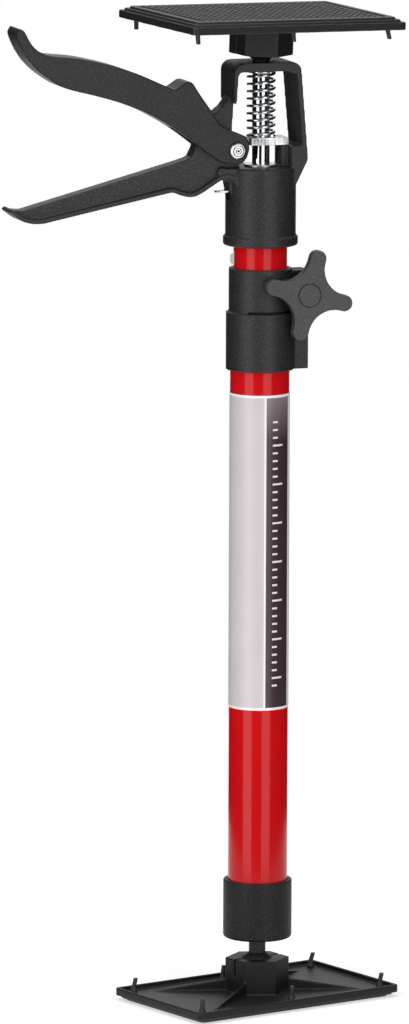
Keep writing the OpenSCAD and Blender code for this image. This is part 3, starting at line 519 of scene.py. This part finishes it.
# angles round the tube in degrees, and heights in millimetres
STRIPE, STRIPE_RIMS, WHITE_RIM, ALL_ROUND = (-94.7, -39.5), (3.6, 6.5), 1.3, 181.0
STRIPE_FADE, TICKS_INSET = (24.0, 1.0), 12.0
TICK_FROM, TICK_TO, LONG_TICK_TO = STRIPE[0] + 13, STRIPE[0] + 24, STRIPE[0] + 36
TICK_EVERY, TICK, LONG_TICK_EVERY, LONG_TICK = 4.0, (1.2, 2.2), 20.0, (9.2, 10.2)
PRINT_CLOUD_MM, RIPPLE_MM = 25.0, 100 / 9


def printed_film():
    """The print, laid out by the angle round the tube and the height above the floor."""
    material, tree = new_material("screen_printed_pvc_film")
    place = add(tree, "ShaderNodeTexCoord").outputs["Object"]
    axes = add(tree, "ShaderNodeSeparateXYZ", {"Vector": place})
    bearing = add(tree, "ShaderNodeMath", {0: axes.outputs["Y"], 1: axes.outputs["X"]},
                  operation="ARCTAN2")
    turn = add(tree, "ShaderNodeMath", {0: bearing.outputs[0], 1: 180 / math.pi},
               operation="MULTIPLY").outputs[0]
    height = add(tree, "ShaderNodeMath", {0: axes.outputs["Z"], 1: 1000.0},
                 operation="MULTIPLY").outputs[0]

    def printed(value, low, high, within=1.0):
        """One where the value is between two limits and within is one too, and else nought."""
        over = add(tree, "ShaderNodeMath", {0: value, 1: low}, operation="GREATER_THAN")
        under = add(tree, "ShaderNodeMath", {0: value, 1: high}, operation="LESS_THAN")
        run = add(tree, "ShaderNodeMath", {0: over.outputs[0], 1: under.outputs[0]},
                  operation="MULTIPLY")
        return add(tree, "ShaderNodeMath", {0: run.outputs[0], 1: within},
                   operation="MULTIPLY").outputs[0]

    inside = printed(height, LABEL_LOW + WHITE_RIM, LABEL_TOP - WHITE_RIM)
    field = printed(turn, -ALL_ROUND, STRIPE[0] - STRIPE_RIMS[0], inside)
    back = printed(turn, STRIPE[1] + STRIPE_RIMS[1], ALL_ROUND, inside)
    stripe = printed(turn, *STRIPE, inside)
    soft = add(tree, "ShaderNodeTexNoise", {"Vector": place, "Scale": 1000 / PRINT_CLOUD_MM,
                                            "Detail": 3.0})
    grey = add(tree, "ShaderNodeMix", {"Factor": soft.outputs["Fac"], "A": linear("#cac3c7"),
                                       "B": linear("#d6d0d3")}, data_type="RGBA")
    either = add(tree, "ShaderNodeMath", {0: field, 1: back}, operation="MAXIMUM")
    sheet = add(tree, "ShaderNodeMix", {"Factor": either.outputs[0], "A": linear("#f6f4f5"),
                                        "B": grey.outputs["Result"]}, data_type="RGBA")
    # the stripe is grey at its top end and dark brown below
    fade = add(tree, "ShaderNodeMapRange", {
        "Value": height, "From Min": LABEL_TOP - STRIPE_FADE[0],
        "From Max": LABEL_TOP - STRIPE_FADE[1]})
    brown = add(tree, "ShaderNodeMix", {"Factor": fade.outputs["Result"], "A": linear("#3f2f34"),
                                        "B": linear("#85797e")}, data_type="RGBA")
    banded = add(tree, "ShaderNodeMix", {"Factor": stripe, "A": sheet.outputs["Result"],
                                         "B": brown.outputs["Result"]}, data_type="RGBA")
    # every fifth tick is long
    step = add(tree, "ShaderNodeMath", {0: height, 1: TICK_EVERY}, operation="MODULO")
    long_step = add(tree, "ShaderNodeMath", {0: height, 1: LONG_TICK_EVERY}, operation="MODULO")
    ruled = printed(height, LABEL_LOW + TICKS_INSET, LABEL_TOP - TICKS_INSET)
    short = printed(turn, TICK_FROM, TICK_TO, printed(step.outputs[0], *TICK, ruled))
    long = printed(turn, TICK_FROM, LONG_TICK_TO, printed(long_step.outputs[0], *LONG_TICK, ruled))
    ticks = add(tree, "ShaderNodeMath", {0: short, 1: long}, operation="MAXIMUM")
    whole = add(tree, "ShaderNodeMix", {"Factor": ticks.outputs[0], "A": banded.outputs["Result"],
                                        "B": linear("#efe9ec")}, data_type="RGBA")
    ripple = add(tree, "ShaderNodeTexNoise", {"Vector": place, "Scale": 1000 / RIPPLE_MM,
                                              "Detail": 2.0})
    coated(tree, whole.outputs["Result"], 0.34, ripple.outputs["Fac"], 0.3, 0.12, IOR=1.5)
    return material


build = bmesh.new()
seam = math.asin(LABEL_SEAM / (TUBE_R + FILM_OUT))
arcs = [math.pi / 2 + seam + (2 * math.pi - 2 * seam) * k / 127 for k in range(128)]
rings = []
for r, z in ((FILM_IN, LABEL_LOW), (FILM_OUT, LABEL_LOW), (FILM_OUT, LABEL_TOP),
             (FILM_IN, LABEL_TOP)):
    rings.append([build.verts.new(((TUBE_R + r) * math.cos(a), (TUBE_R + r) * math.sin(a), z))
                  for a in arcs])
for low, high in zip(rings, rings[1:] + rings[:1]):
    for k in range(len(arcs) - 1):
        build.faces.new((low[k], low[k + 1], high[k + 1], high[k]))
for k in (0, len(arcs) - 1):
    build.faces.new([ring[k] for ring in rings])
piece("label_film_wrapped", mesh_of(build, sharp=30), "tube", printed_film(), "label_film", "label")


# Tube clamp: sleeve, split ring and two lugs in one moulding round both tubes.
# Powder-coated casting; the ring is pulled tight by a bolt through its lugs.
softened("tube_clamp_casting", "tube_clamp", "tube", powder_black, "black_cast",
         voxel=0.36, rounds=2, share=0.36)


# Slot shade: a matt black strip in the split ring's slot; painted shade keeps it dark from outside.
SHADE_STRIP_R, SHADE_STRIP_OUT_R, SHADE_STRIP_LOW, SHADE_STRIP_HIGH = 13.95, 15.4, 357.08, 357.92
SHADE_STRIP_FROM, SHADE_STRIP_STEP, SHADE_STRIP_STEPS = -243.0, 5.1, 60
# near-black and matt: painted shade in the slot
slot_shade = grained("painted_slot_shade_black", "#0c0c0c", "#141414", 0.95, 0.5, 0.1, 0.05)
build = bmesh.new()
strip = []
for k in range(SHADE_STRIP_STEPS + 1):
    a = math.radians(SHADE_STRIP_FROM + SHADE_STRIP_STEP * k)
    strip.append([(r * math.cos(a), r * math.sin(a), z) for r, z in
                  ((SHADE_STRIP_R, SHADE_STRIP_LOW), (SHADE_STRIP_OUT_R, SHADE_STRIP_LOW), (SHADE_STRIP_OUT_R, SHADE_STRIP_HIGH),
                   (SHADE_STRIP_R, SHADE_STRIP_HIGH))])
loft(build, strip)
piece("slot_shade_strip", mesh_of(build, sharp=40), "tube", slot_shade, "rubber")


# Clamp bolt, washer and nut: they pull the split ring tight when the knob is turned.
# Turned and stamped steel, bright zinc plated, which shines with a blue-grey cast.
# The plating is lined along the way that the steel was drawn or rolled, with cloudy stains.
STAIN_MM = 100 / 13


def plated(name, dark, light, rough, grain_mm=10 / 9, stretch=(1.0, 1.0, 1.0)):
    """Bright plated steel with fine lines, drawn coarser than life, so that they show."""
    material, tree = new_material(name)
    place = add(tree, "ShaderNodeTexCoord").outputs["Object"]
    along = add(tree, "ShaderNodeMapping", {"Vector": place, "Scale": stretch})
    lines = add(tree, "ShaderNodeTexNoise", {"Vector": along.outputs["Vector"],
                                             "Scale": 1000 / grain_mm, "Detail": 3.0})
    cloud = add(tree, "ShaderNodeTexNoise", {"Vector": place, "Scale": 1000 / STAIN_MM,
                                             "Detail": 2.0})
    patch = add(tree, "ShaderNodeMath", {0: lines.outputs["Fac"], 1: cloud.outputs["Fac"]},
                operation="ADD")
    drawn = add(tree, "ShaderNodeMapRange", {"Value": patch.outputs[0], "From Min": 0.75,
                                             "From Max": 1.2})
    tone = add(tree, "ShaderNodeMix", {"Factor": drawn.outputs["Result"], "A": linear(dark),
                                       "B": linear(light)}, data_type="RGBA")
    dull = add(tree, "ShaderNodeMapRange", {"Value": lines.outputs["Fac"], "To Min": rough - 0.06,
                                            "To Max": rough + 0.1})
    coated(tree, tone.outputs["Result"], dull.outputs["Result"], lines.outputs["Fac"], 0.3, 0.03,
           Metallic=1.0)
    return material


zinc = plated("bright_zinc_plated_steel", "#b4b6b9", "#d6d8da", 0.3)


def bevelled(name, node, body, material, slot, width):
    """A copy of a small CAD solid with its sharp edges broken to a width in millimetres."""
    source = welded(node, flat=1)
    edge = source.modifiers.new("edge", "BEVEL")
    edge.width = width * MM
    edge.segments = 2
    edge.limit_method = "ANGLE"
    edge.angle_limit = math.radians(35)
    edge.harden_normals = True
    shape = plain_mesh(source)
    shape.shade_smooth()
    shape.set_sharp_from_angle(angle=math.radians(20))
    return piece(name, shape, body, material, slot, node)


bevelled("clamp_nut_plated", "clamp_nut", "tube", zinc, "zinc", width=0.4)
bevelled("clamp_bolt_plated", "clamp_bolt", "knob", zinc, "zinc", width=0.3)
bevelled("clamp_washer_plated", "clamp_washer", "knob", zinc, "zinc", width=0.12)


# Star knob: the four-lobed grip on the clamp bolt, with a press-in cap over the bolt head.
# Glass-filled nylon, injection moulded; the cap leaves a fine ring in the face.
# Both are paler than the handles.
BOLT = Vector((19.3, 0, 367.0))
ON_BOLT = Matrix.Translation(BOLT) @ Matrix.Rotation(math.pi / 2, 4, "X")
CAP_BACK, CAP_FACE, CAP_R = 20.35, 23.15, 5.8
knob_nylon = grained("pale_knob_nylon", "#343435", "#404041", 0.45, 0.7, 0.06, 0.35, "#8a8a8c")
softened("star_knob_moulding", "star_knob", "knob", knob_nylon, "black_plastic",
         voxel=0.3, rounds=5, share=0.4)
piece("knob_cap_moulding", turned_shape([
    (0, CAP_BACK), (CAP_R, CAP_BACK, 0.2), (CAP_R, CAP_FACE, 0.55), (0, CAP_FACE)],
    place=ON_BOLT, sides=64), "knob", knob_nylon, "black_plastic", "knob_cap")


# Paper seal: the curled end of a small white seal that is stuck to the upper tube.
# Thin torn paper, matt and a little fibrous, its free corner standing off the paint.
SEAL_FROM, SEAL_TURN, SEAL_STAND, SEAL_T, SEAL_STEPS = 146, 32, (0.06, 2.1), 0.12, 12
SEAL_LOW, SEAL_HIGH, SEAL_RISE, SEAL_TEARS = 381.0, 385.2, 2.6, (0.25, 0.3)
paper_torn = grained("torn_white_paper", "#d9d5d2", "#ece9e6", 0.7, 0.6, 0.03, 0.1, "#ffffff")
build = bmesh.new()
flap = []
for i in range(SEAL_STEPS + 1):
    t = i / SEAL_STEPS
    angle = math.radians(SEAL_FROM + SEAL_TURN * t)
    stand = MAST_R + SEAL_STAND[0] + SEAL_STAND[1] * (1 - t) ** 2
    low = SEAL_LOW + SEAL_TEARS[0] * math.sin(9 * t)
    high = SEAL_HIGH + SEAL_RISE * t + SEAL_TEARS[1] * math.sin(7 * t + 1)
    flap.append([(r * math.cos(angle), r * math.sin(angle), z)
                 for r, z in ((stand, low), (stand, high), (stand + SEAL_T, high),
                              (stand + SEAL_T, low))])
loft(build, flap)
piece("paper_seal_loose", mesh_of(build, sharp=30), "mast", paper_torn, "label_film")


# Head casting: barrel, yoke and fixed handle in one piece, clamped on top of the upper tube.
# Die-cast and powder coated in fine-grain black; the coat rounds every edge and fillet.
# The shoulder under the drive plates is milled to a rib, which opens a gap beside the push rod.
RIB_RIGHT, RIB_FRONT, SHOULDER_LOW, SHOULDER_TOP = 9.0, 5.7, 431.4, 443.0
SHOULDER_LEFT, SHOULDER_RIGHT, SHOULDER_Y, MILL_OVERLAP = 3.0, 12.6, 13.0, 0.1
softened("head_casting", "head_body", "mast", powder_black, "black_cast",
         voxel=0.5, rounds=4, share=0.33, cuts=(
             ((SHOULDER_LEFT, -SHOULDER_Y, SHOULDER_LOW),
              (RIB_RIGHT + MILL_OVERLAP, SHOULDER_Y, SHOULDER_TOP)),
             ((RIB_RIGHT, -SHOULDER_Y, SHOULDER_LOW), (SHOULDER_RIGHT, -RIB_FRONT, SHOULDER_TOP)),
             ((RIB_RIGHT, RIB_FRONT, SHOULDER_LOW), (SHOULDER_RIGHT, SHOULDER_Y, SHOULDER_TOP))))


# Guide bush and top bush: they guide the push rod through the barrel and the yoke.
# The lower one is turned steel, zinc plated; the upper one is moulded nylon.
HEAD_TOP, WINDOW_TOP, YOKE_TOP = 431.3, 480.5, 485.0
ROD_R, ROD_FIT = 4.5, 0.05
GUIDE_R, GUIDE_RIM_R, GUIDE_DEPTH, GUIDE_RIM_T = 6.5, 8.6, 6.8, 1.2
CAP_BUSH_R, CAP_RIM_R, CAP_RIM_T, CAP_PROUD = 5.6, 6.6, 1.25, 0.05
bore = ROD_R + ROD_FIT
piece("guide_bush_turned", turned_shape([
    (bore, HEAD_TOP - GUIDE_DEPTH, 0.2), (GUIDE_R, HEAD_TOP - GUIDE_DEPTH, 0.2),
    (GUIDE_R, HEAD_TOP), (GUIDE_RIM_R, HEAD_TOP, 0.1), (GUIDE_RIM_R, HEAD_TOP + GUIDE_RIM_T, 0.3),
    (bore, HEAD_TOP + GUIDE_RIM_T, 0.3)], closed=True, sides=72), "mast", zinc, "zinc",
    "guide_bush")
piece("top_bush_moulded", turned_shape([
    (bore, WINDOW_TOP, 0.2), (CAP_BUSH_R, WINDOW_TOP, 0.2), (CAP_BUSH_R, YOKE_TOP - CAP_RIM_T),
    (CAP_RIM_R, YOKE_TOP - CAP_RIM_T, 0.1), (CAP_RIM_R, YOKE_TOP + CAP_PROUD, 0.25),
    (bore, YOKE_TOP + CAP_PROUD, 0.3)], closed=True, sides=72), "mast", nylon_black,
    "black_plastic", "top_bush")


# Release plate and its spring: the plate grips the rod until its tab is pressed down.
# Stamped steel strip, zinc plated, on a spring that stands on a stamped washer.
# The spring is bright drawn wire, so its turns mirror the room.
bevelled("release_plate_stamped", "release_plate", "release", zinc, "zinc", width=0.15)
wire_bright = plated("bright_drawn_spring_wire", "#a9acb0", "#dfe1e4", 0.14, 2 / 3)


def coil_tree(material):
    """A coil of round wire whose end turns lie flat, wound from named sizes in metres."""
    tree = bpy.data.node_groups.new("wound_spring", "GeometryNodeTree")
    known = size_inputs(tree, "NodeSocketFloat", (
        ("Coil Radius", 0.007), ("Wire Radius", 0.0007), ("Low", 0.0), ("High", 0.03),
        ("Turns", 8.0), ("End Share", 0.1), ("Top Share", 0.9)))
    given = add(tree, "NodeGroupInput").outputs
    path = add(tree, "GeometryNodeCurveSpiral", {
        "Resolution": 30, "Rotations": given["Turns"], "Start Radius": given["Coil Radius"],
        "End Radius": given["Coil Radius"], "Height": 0.0, "Reverse": True})
    share = add(tree, "GeometryNodeSplineParameter").outputs["Factor"]
    rise = add(tree, "ShaderNodeMapRange", {
        "Value": share, "From Min": given["End Share"], "From Max": given["Top Share"],
        "To Min": given["Low"], "To Max": given["High"]})
    lift = add(tree, "ShaderNodeCombineXYZ", {"Z": rise.outputs["Result"]})
    wound = add(tree, "GeometryNodeSetPosition", {"Geometry": path.outputs["Curve"],
                                                  "Offset": lift.outputs["Vector"]})
    section = add(tree, "GeometryNodeCurvePrimitiveCircle", {"Resolution": 16,
                                                             "Radius": given["Wire Radius"]})
    wire = add(tree, "GeometryNodeCurveToMesh", {
        "Curve": wound.outputs["Geometry"], "Profile Curve": section.outputs["Curve"],
        "Fill Caps": True})
    hand_out(tree, wire.outputs["Mesh"], material)
    return tree, known


wound_spring, coil_sizes = coil_tree(wire_bright)


def spring_shape(radius, wire, low, high, curls, start, closed):
    """One spring between two heights in millimetres, its first turn at the start angle."""
    bearer = scratch(bpy.data.meshes.new("bearer"))
    coil = bearer.modifiers.new("coil", "NODES")
    coil.node_group = wound_spring
    turns = curls + 2 * closed
    for name, value in (("Coil Radius", radius * MM), ("Wire Radius", wire / 2 * MM),
                        ("Low", (low + wire / 2) * MM), ("High", (high - wire / 2) * MM),
                        ("Turns", turns), ("End Share", closed / turns),
                        ("Top Share", 1 - closed / turns)):
        coil[coil_sizes[name]] = value
    shape = plain_mesh(bearer)
    shape.transform(Matrix.Rotation(math.radians(start - 360 * closed), 4, "Z"))
    build = bmesh.new()
    build.from_mesh(shape)
    bpy.data.meshes.remove(shape)
    build.transform(Matrix.Scale(1000, 4))
    return mesh_of(build, sharp=50)


SEAT_TOP, RELEASE_Z, COIL_GAP = 410.0, 418.5, 0.05
release_coil = piece("release_spring_coil", spring_shape(
    radius=8.4, wire=1.2, low=SEAT_TOP + COIL_GAP, high=RELEASE_Z - COIL_GAP, curls=2, start=0,
    closed=0.5), "mast", wire_bright, "zinc", "release_spring")
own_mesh(release_coil)


# Pivot pin: a rivet through both cheeks of the trigger and the handle web, with a clip behind.
# Bright zinc-plated steel; its head is formed in a die, which leaves rings and a centre dimple.
PIVOT = Vector((-15.1, 0, 440.4))
PIN_R, PIN_HEAD_R, PIN_BACK, PIN_FACE, HEADED_MM = 2.5, 4.55, -11.2, 9.15, 10 / 9
# radius, height and fillet of the head from its rim over its ring groove to its centre dimple
PIN_HEAD = ((PIN_HEAD_R, PIN_FACE, 0.3), (PIN_HEAD_R - 0.15, 9.75, 0.4),
            (PIN_HEAD_R - 1.15, 10.55, 0.3), (3.0, 10.6, 0.1), (2.7, 10.42, 0.1),
            (2.35, 10.6, 0.1), (1.6, 10.58, 0.1), (1.35, 10.4, 0.1), (1.0, 10.52, 0.1),
            (0.6, 10.5, 0.1), (0.35, 9.9, 0.1), (0, 9.85))
ON_PIVOT = Matrix.Translation(PIVOT) @ Matrix.Rotation(math.pi / 2, 4, "X")


def headed_rivet():
    """Plated steel with painted shade in the rings of the head, out from the pin's axis."""
    material, tree = new_material("bright_zinc_headed_rivet")
    place = add(tree, "ShaderNodeTexCoord").outputs["Object"]
    centred = add(tree, "ShaderNodeMapping", {"Vector": place, "Location": -PIVOT * MM})
    flat = add(tree, "ShaderNodeVectorMath", {0: centred.outputs["Vector"], 1: (1, 0, 1)},
               operation="MULTIPLY")
    out = add(tree, "ShaderNodeVectorMath", {0: flat.outputs["Vector"]}, operation="LENGTH")
    radius = add(tree, "ShaderNodeMath", {0: out.outputs["Value"], 1: 1000.0 / PIN_HEAD_R},
                 operation="MULTIPLY")
    # painted shade darkens the dimple, the ring grooves of the die and the rim
    rings = add(tree, "ShaderNodeValToRGB", {"Fac": radius.outputs[0]})
    ramp = rings.color_ramp
    ramp.elements[0].position, ramp.elements[0].color = 0.1, linear("#1c1c1d")
    ramp.elements[1].position, ramp.elements[1].color = 0.16, linear("#eceef0")
    for at, code in ((0.26, "#dddfe1"), (0.33, "#77797c"), (0.4, "#d6d8da"), (0.52, "#e6e8e9"),
                     (0.6, "#6a6c6f"), (0.68, "#dfe1e3"), (0.84, "#d0d2d4"), (0.9, "#5f6164"),
                     (1.0, "#252627")):
        ramp.elements.new(at).color = linear(code)
    lines = add(tree, "ShaderNodeTexNoise", {"Vector": place, "Scale": 1000 / HEADED_MM,
                                             "Detail": 3.0})
    dull = add(tree, "ShaderNodeMapRange", {"Value": lines.outputs["Fac"], "To Min": 0.22,
                                            "To Max": 0.42})
    coated(tree, rings.outputs["Color"], dull.outputs["Result"], lines.outputs["Fac"], 0.4, 0.05,
           Metallic=1.0)
    return material


piece("pivot_pin_rivet", turned_shape([
    (0, PIN_BACK), (PIN_R, PIN_BACK, 0.4), (PIN_R, PIN_FACE), *PIN_HEAD], place=ON_PIVOT,
    sides=64, sharp=50), "mast", headed_rivet(), "chrome", "pivot_pin")


# Trigger: the moving handle, straddling the handle web and turning on the pivot pin.
# Glass-filled nylon, hollow under the grip; its edges are well rounded for the hand.
grip_nylon = grained("moulded_grip_nylon", "#161617", "#1f1f20", 0.44, 0.7, 0.06, 0.26, "#6f7072",
                     ior=1.4)
softened("trigger_moulding", "trigger", "trigger", grip_nylon, "black_plastic",
         voxel=0.5, rounds=12, share=0.33)


# Drive plates: three loose plates that tip, grip the push rod and lift it at each squeeze.
# Hardened steel, stamped and zinc plated, with their sheared edges showing upright lines.
stamped = plated("sheared_zinc_plated_plate", "#8f9193", "#fbfbfb", 0.42, 10 / 7, (1.0, 1.0, 0.15))
for number in (1, 2, 3):
    bevelled("drive_plate_stamped_%d" % number, "drive_plate_%d" % number, "drive_plates",
             stamped, "zinc", width=0.12)


# Drive spring: it presses the drive plates down again after each squeeze.
# Cold-wound spring wire, bright chromed, with closed ends.
PLATES_UP, PLATE_T, PLATES = 11.1, 1.25, 3
SPRING_LOW = HEAD_TOP + PLATES_UP + PLATES * PLATE_T
coil = piece("drive_spring_coil", spring_shape(
    radius=6.75, wire=1.5, low=SPRING_LOW + COIL_GAP, high=WINDOW_TOP - COIL_GAP, curls=8.75,
    start=165, closed=0.6), "mast", wire_bright, "chrome", "drive_spring")
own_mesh(coil)


# Push rod, stud end, ball and head plate: the bright bar that carries the tilting head.
# Ground steel bar, hard chromed, so it mirrors the room almost without blur.
# The stud end is a black casting pressed into it, and the plate is moulded as the foot plate.
chrome = plated("hard_chromed_ground_bar", "#d4d6d9", "#eceef0", 0.09, 5 / 9, (1.0, 1.0, 0.05))
ROD_LOW, ROD_TOP, ROD_BORE_R, ROD_BORE_DEPTH = 54.0, 481.45, 2.5, 12.3
SPIGOT_R, SPIGOT_L, STUD_END_R, STUD_GAP = 2.45, 12.0, 4.4, 0.05
stud_low = ROD_TOP + STUD_GAP
piece("push_rod_chromed", turned_shape([
    (0, ROD_LOW), (ROD_R, ROD_LOW, 0.4), (ROD_R, ROD_TOP, 0.2), (ROD_BORE_R, ROD_TOP, 0.1),
    (ROD_BORE_R, ROD_TOP - ROD_BORE_DEPTH), (0, ROD_TOP - ROD_BORE_DEPTH)], sides=96), "rod",
    chrome, "chrome", "push_rod")
piece("rod_end_casting", turned_shape([
    (0, stud_low - SPIGOT_L), (SPIGOT_R, stud_low - SPIGOT_L, 0.2), (SPIGOT_R, stud_low),
    (STUD_END_R, stud_low, 0.2), *ball_seat(HEAD_BALL_Z, STUD_END_R, -1)], sides=72), "rod_end",
    powder_black, "black_cast", "rod_end")
piece("head_ball_casting", turned_shape(ball_points(HEAD_BALL_Z), sharp=0), "head_ball",
      powder_black, "black_cast", "head_ball")
softened("head_plate_moulding", "head_plate", "head_plate", nylon_black, "black_plastic",
         voxel=0.5, rounds=2, share=0.35)


# Inner pieces that only a taken-apart pole would show keep their CAD shapes.
# Glide and rod stop are natural nylon, a waxy cream white with faint clouds.
# Retainer, seat and clip are stamped from zinc-plated sheet steel.
def natural_nylon():
    """Uncoloured nylon: a warm white with faint clouds and a dull wax shine."""
    material, tree = new_material("natural_nylon_moulded")
    place = add(tree, "ShaderNodeTexCoord").outputs["Object"]
    cloud = add(tree, "ShaderNodeTexNoise", {"Vector": place, "Scale": 1000 / 5.0,
                                             "Detail": 3.0})
    tone = add(tree, "ShaderNodeMix", {"Factor": cloud.outputs["Fac"], "A": linear("#ddd9cd"),
                                       "B": linear("#ece9df")}, data_type="RGBA")
    coated(tree, tone.outputs["Result"], 0.45, cloud.outputs["Fac"], 0.2, 0.05, IOR=1.53)
    return material


nylon_natural = natural_nylon()
for node, finish in (("tube_glide", nylon_natural), ("rod_stop", nylon_natural),
                     ("stem_retainer", zinc), ("release_seat", zinc), ("pivot_clip", zinc)):
    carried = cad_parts[node]
    if not carried.material_slots:
        carried.data.materials.append(finish)
    for holder in carried.material_slots:
        holder.material = finish


# Room: a round white table that keeps the soft shadow of the foot plate.
# Camera, mirrors and glass see it as plain white; other light meets a pale matt surface.
# A dark cloth curtain behind the camera is seen in the gloss alone and lights nothing.
YAW = math.radians(18.0)
TABLE_R, TABLE_BACK, TABLE_DROP, TABLE_GLOW = 0.42, 0.08, 0.0002, 0.52
CURTAIN_R, CURTAIN_REACH, CURTAIN_STEPS, CURTAIN_Z = 7.0, 158, 48, (-4.0, 5.44)
CLOTH_MM = 350.0
toward = Vector((-math.sin(YAW), -math.cos(YAW), 0))
leftward = Vector((-math.cos(YAW), math.sin(YAW), 0))


def round_pole(degrees, distance):
    """A place on the floor round the pole, counted from the camera's side to the left."""
    a = math.radians(degrees)
    return distance * (math.cos(a) * toward + math.sin(a) * leftward)


def seen_straight(tree):
    """One for the camera, mirrors and glass, and nought for other light."""
    path = add(tree, "ShaderNodeLightPath")
    seen = path.outputs["Is Camera Ray"]
    for ray in ("Is Glossy Ray", "Is Transmission Ray"):
        seen = add(tree, "ShaderNodeMath", {0: seen, 1: path.outputs[ray]},
                   operation="MAXIMUM").outputs[0]
    return seen


def placed(name, points, faces, material):
    """A plain mesh in the room, in metres."""
    shape = bpy.data.meshes.new(name)
    shape.from_pydata(points, [], faces)
    shape.materials.append(material)
    made = bpy.data.objects.new(name, shape)
    bpy.context.scene.collection.objects.link(made)
    return made


material, tree = new_material("white_paper_floor")
paper = add(tree, "ShaderNodeBsdfDiffuse", {"Color": linear("#e2e2e2")})
level = add(tree, "ShaderNodeMath", {0: seen_straight(tree), 1: TABLE_GLOW}, operation="MULTIPLY")
glow = add(tree, "ShaderNodeEmission", {"Strength": level.outputs[0]})
lit = add(tree, "ShaderNodeAddShader", {0: paper.outputs["BSDF"], 1: glow.outputs["Emission"]})
add(tree, "ShaderNodeOutputMaterial", {"Surface": lit.outputs["Shader"]})
rim = [round_pole(360 * k / 96, TABLE_R) - toward * TABLE_BACK for k in range(96)]
floor = placed("floor", [(p.x, p.y, -TABLE_DROP) for p in rim],
               [tuple(reversed(range(len(rim))))], material)

material, tree = new_material("dark_cloth_curtain")
weave = add(tree, "ShaderNodeTexNoise", {
    "Vector": add(tree, "ShaderNodeTexCoord").outputs["Object"], "Scale": 1000 / CLOTH_MM})
cloth = add(tree, "ShaderNodeMix", {"Factor": weave.outputs["Fac"], "A": linear("#1a1a1b"),
                                    "B": linear("#202021")}, data_type="RGBA")
cover = add(tree, "ShaderNodeBsdfDiffuse", {"Color": cloth.outputs["Result"]})
add(tree, "ShaderNodeOutputMaterial", {"Surface": cover.outputs["BSDF"]})
folds = []
for k in range(CURTAIN_STEPS + 1):
    hem = round_pole(CURTAIN_REACH * (2 * k / CURTAIN_STEPS - 1), CURTAIN_R)
    folds += [(hem.x, hem.y, z) for z in CURTAIN_Z]
curtain = placed("curtain", folds, [(2 * k, 2 * k + 2, 2 * k + 3, 2 * k + 1)
                                    for k in range(CURTAIN_STEPS)], material)
curtain.visible_camera = curtain.visible_diffuse = curtain.visible_shadow = False
curtain.visible_transmission = False

world = bpy.data.worlds.new("pale_room")
bpy.context.scene.world = world
world.use_nodes = True
tree = world.node_tree
tree.nodes.clear()
level = add(tree, "ShaderNodeMapRange", {"Value": seen_straight(tree), "To Min": 0.34,
                                         "To Max": 1.0})
sky = add(tree, "ShaderNodeBackground", {"Color": linear("#ffffff"),
                                         "Strength": level.outputs["Result"]})
add(tree, "ShaderNodeOutputWorld", {"Surface": sky.outputs["Background"]})

# Camera: a long lens in front of the pole and above it, turned as the photograph shows.
# Its place and angles were fitted to the tube, the label and the corners of the foot plate.
EYE = Vector((-1.4119, -4.3453, 0.9854))
PAN, PITCH, ROLL = -0.0061, 0.1589, -0.0036
FOCAL_PX, FRAME_PX, SENSOR = 9061.1082, 1024, 36.0
ahead = Vector((math.sin(YAW + PAN), math.cos(YAW + PAN), 0))
right = Vector((math.cos(YAW + PAN), -math.sin(YAW + PAN), 0))
up = math.sin(PITCH) * ahead + math.cos(PITCH) * Vector((0, 0, 1))
ahead = math.cos(PITCH) * ahead - math.sin(PITCH) * Vector((0, 0, 1))
right, up = (math.cos(ROLL) * right - math.sin(ROLL) * up,
             math.sin(ROLL) * right + math.cos(ROLL) * up)
lens = bpy.data.cameras.new("camera")
lens.sensor_width = SENSOR
lens.lens = FOCAL_PX / FRAME_PX * SENSOR
lens.clip_end = 200.0
camera = bpy.data.objects.new("camera", lens)
camera.matrix_world = Matrix.Translation(EYE) @ Matrix((right, up, -ahead)).transposed().to_4x4()
bpy.context.scene.collection.objects.link(camera)
bpy.context.scene.camera = camera

# Lights: two tall soft boxes beside the camera, whose reflections run down the red tube as two
# strips, and a wide soft one above.
BOX_Z = 0.75


def soft_box(name, place, width, height, power):
    """A lamp that shines down its own -Z axis and is not seen itself; metres and watts."""
    lamp = bpy.data.lights.new(name, "AREA")
    lamp.shape = "RECTANGLE"
    lamp.size, lamp.size_y, lamp.energy = width, height, power
    box = bpy.data.objects.new(name, lamp)
    box.matrix_world = place
    box.visible_camera = False
    bpy.context.scene.collection.objects.link(box)


for name, side, distance, width, height, power in (
        ("left_soft_box", 42, 2.2, 1.35, 3.4, 32.0), ("right_soft_box", -30, 2.4, 1.4, 3.4, 30.0)):
    spot = round_pole(side, distance) + Vector((0, 0, BOX_Z))
    facing = (Vector((0, 0, BOX_Z)) - spot).to_track_quat("-Z", "Y").to_matrix().to_4x4()
    soft_box(name, Matrix.Translation(spot) @ facing, width, height, power)
soft_box("top_soft_box", Matrix.Translation((-0.3, -0.3, 2.8)), 2.0, 2.0, 19.0)

bpy.context.scene.view_settings.view_transform = "Standard"
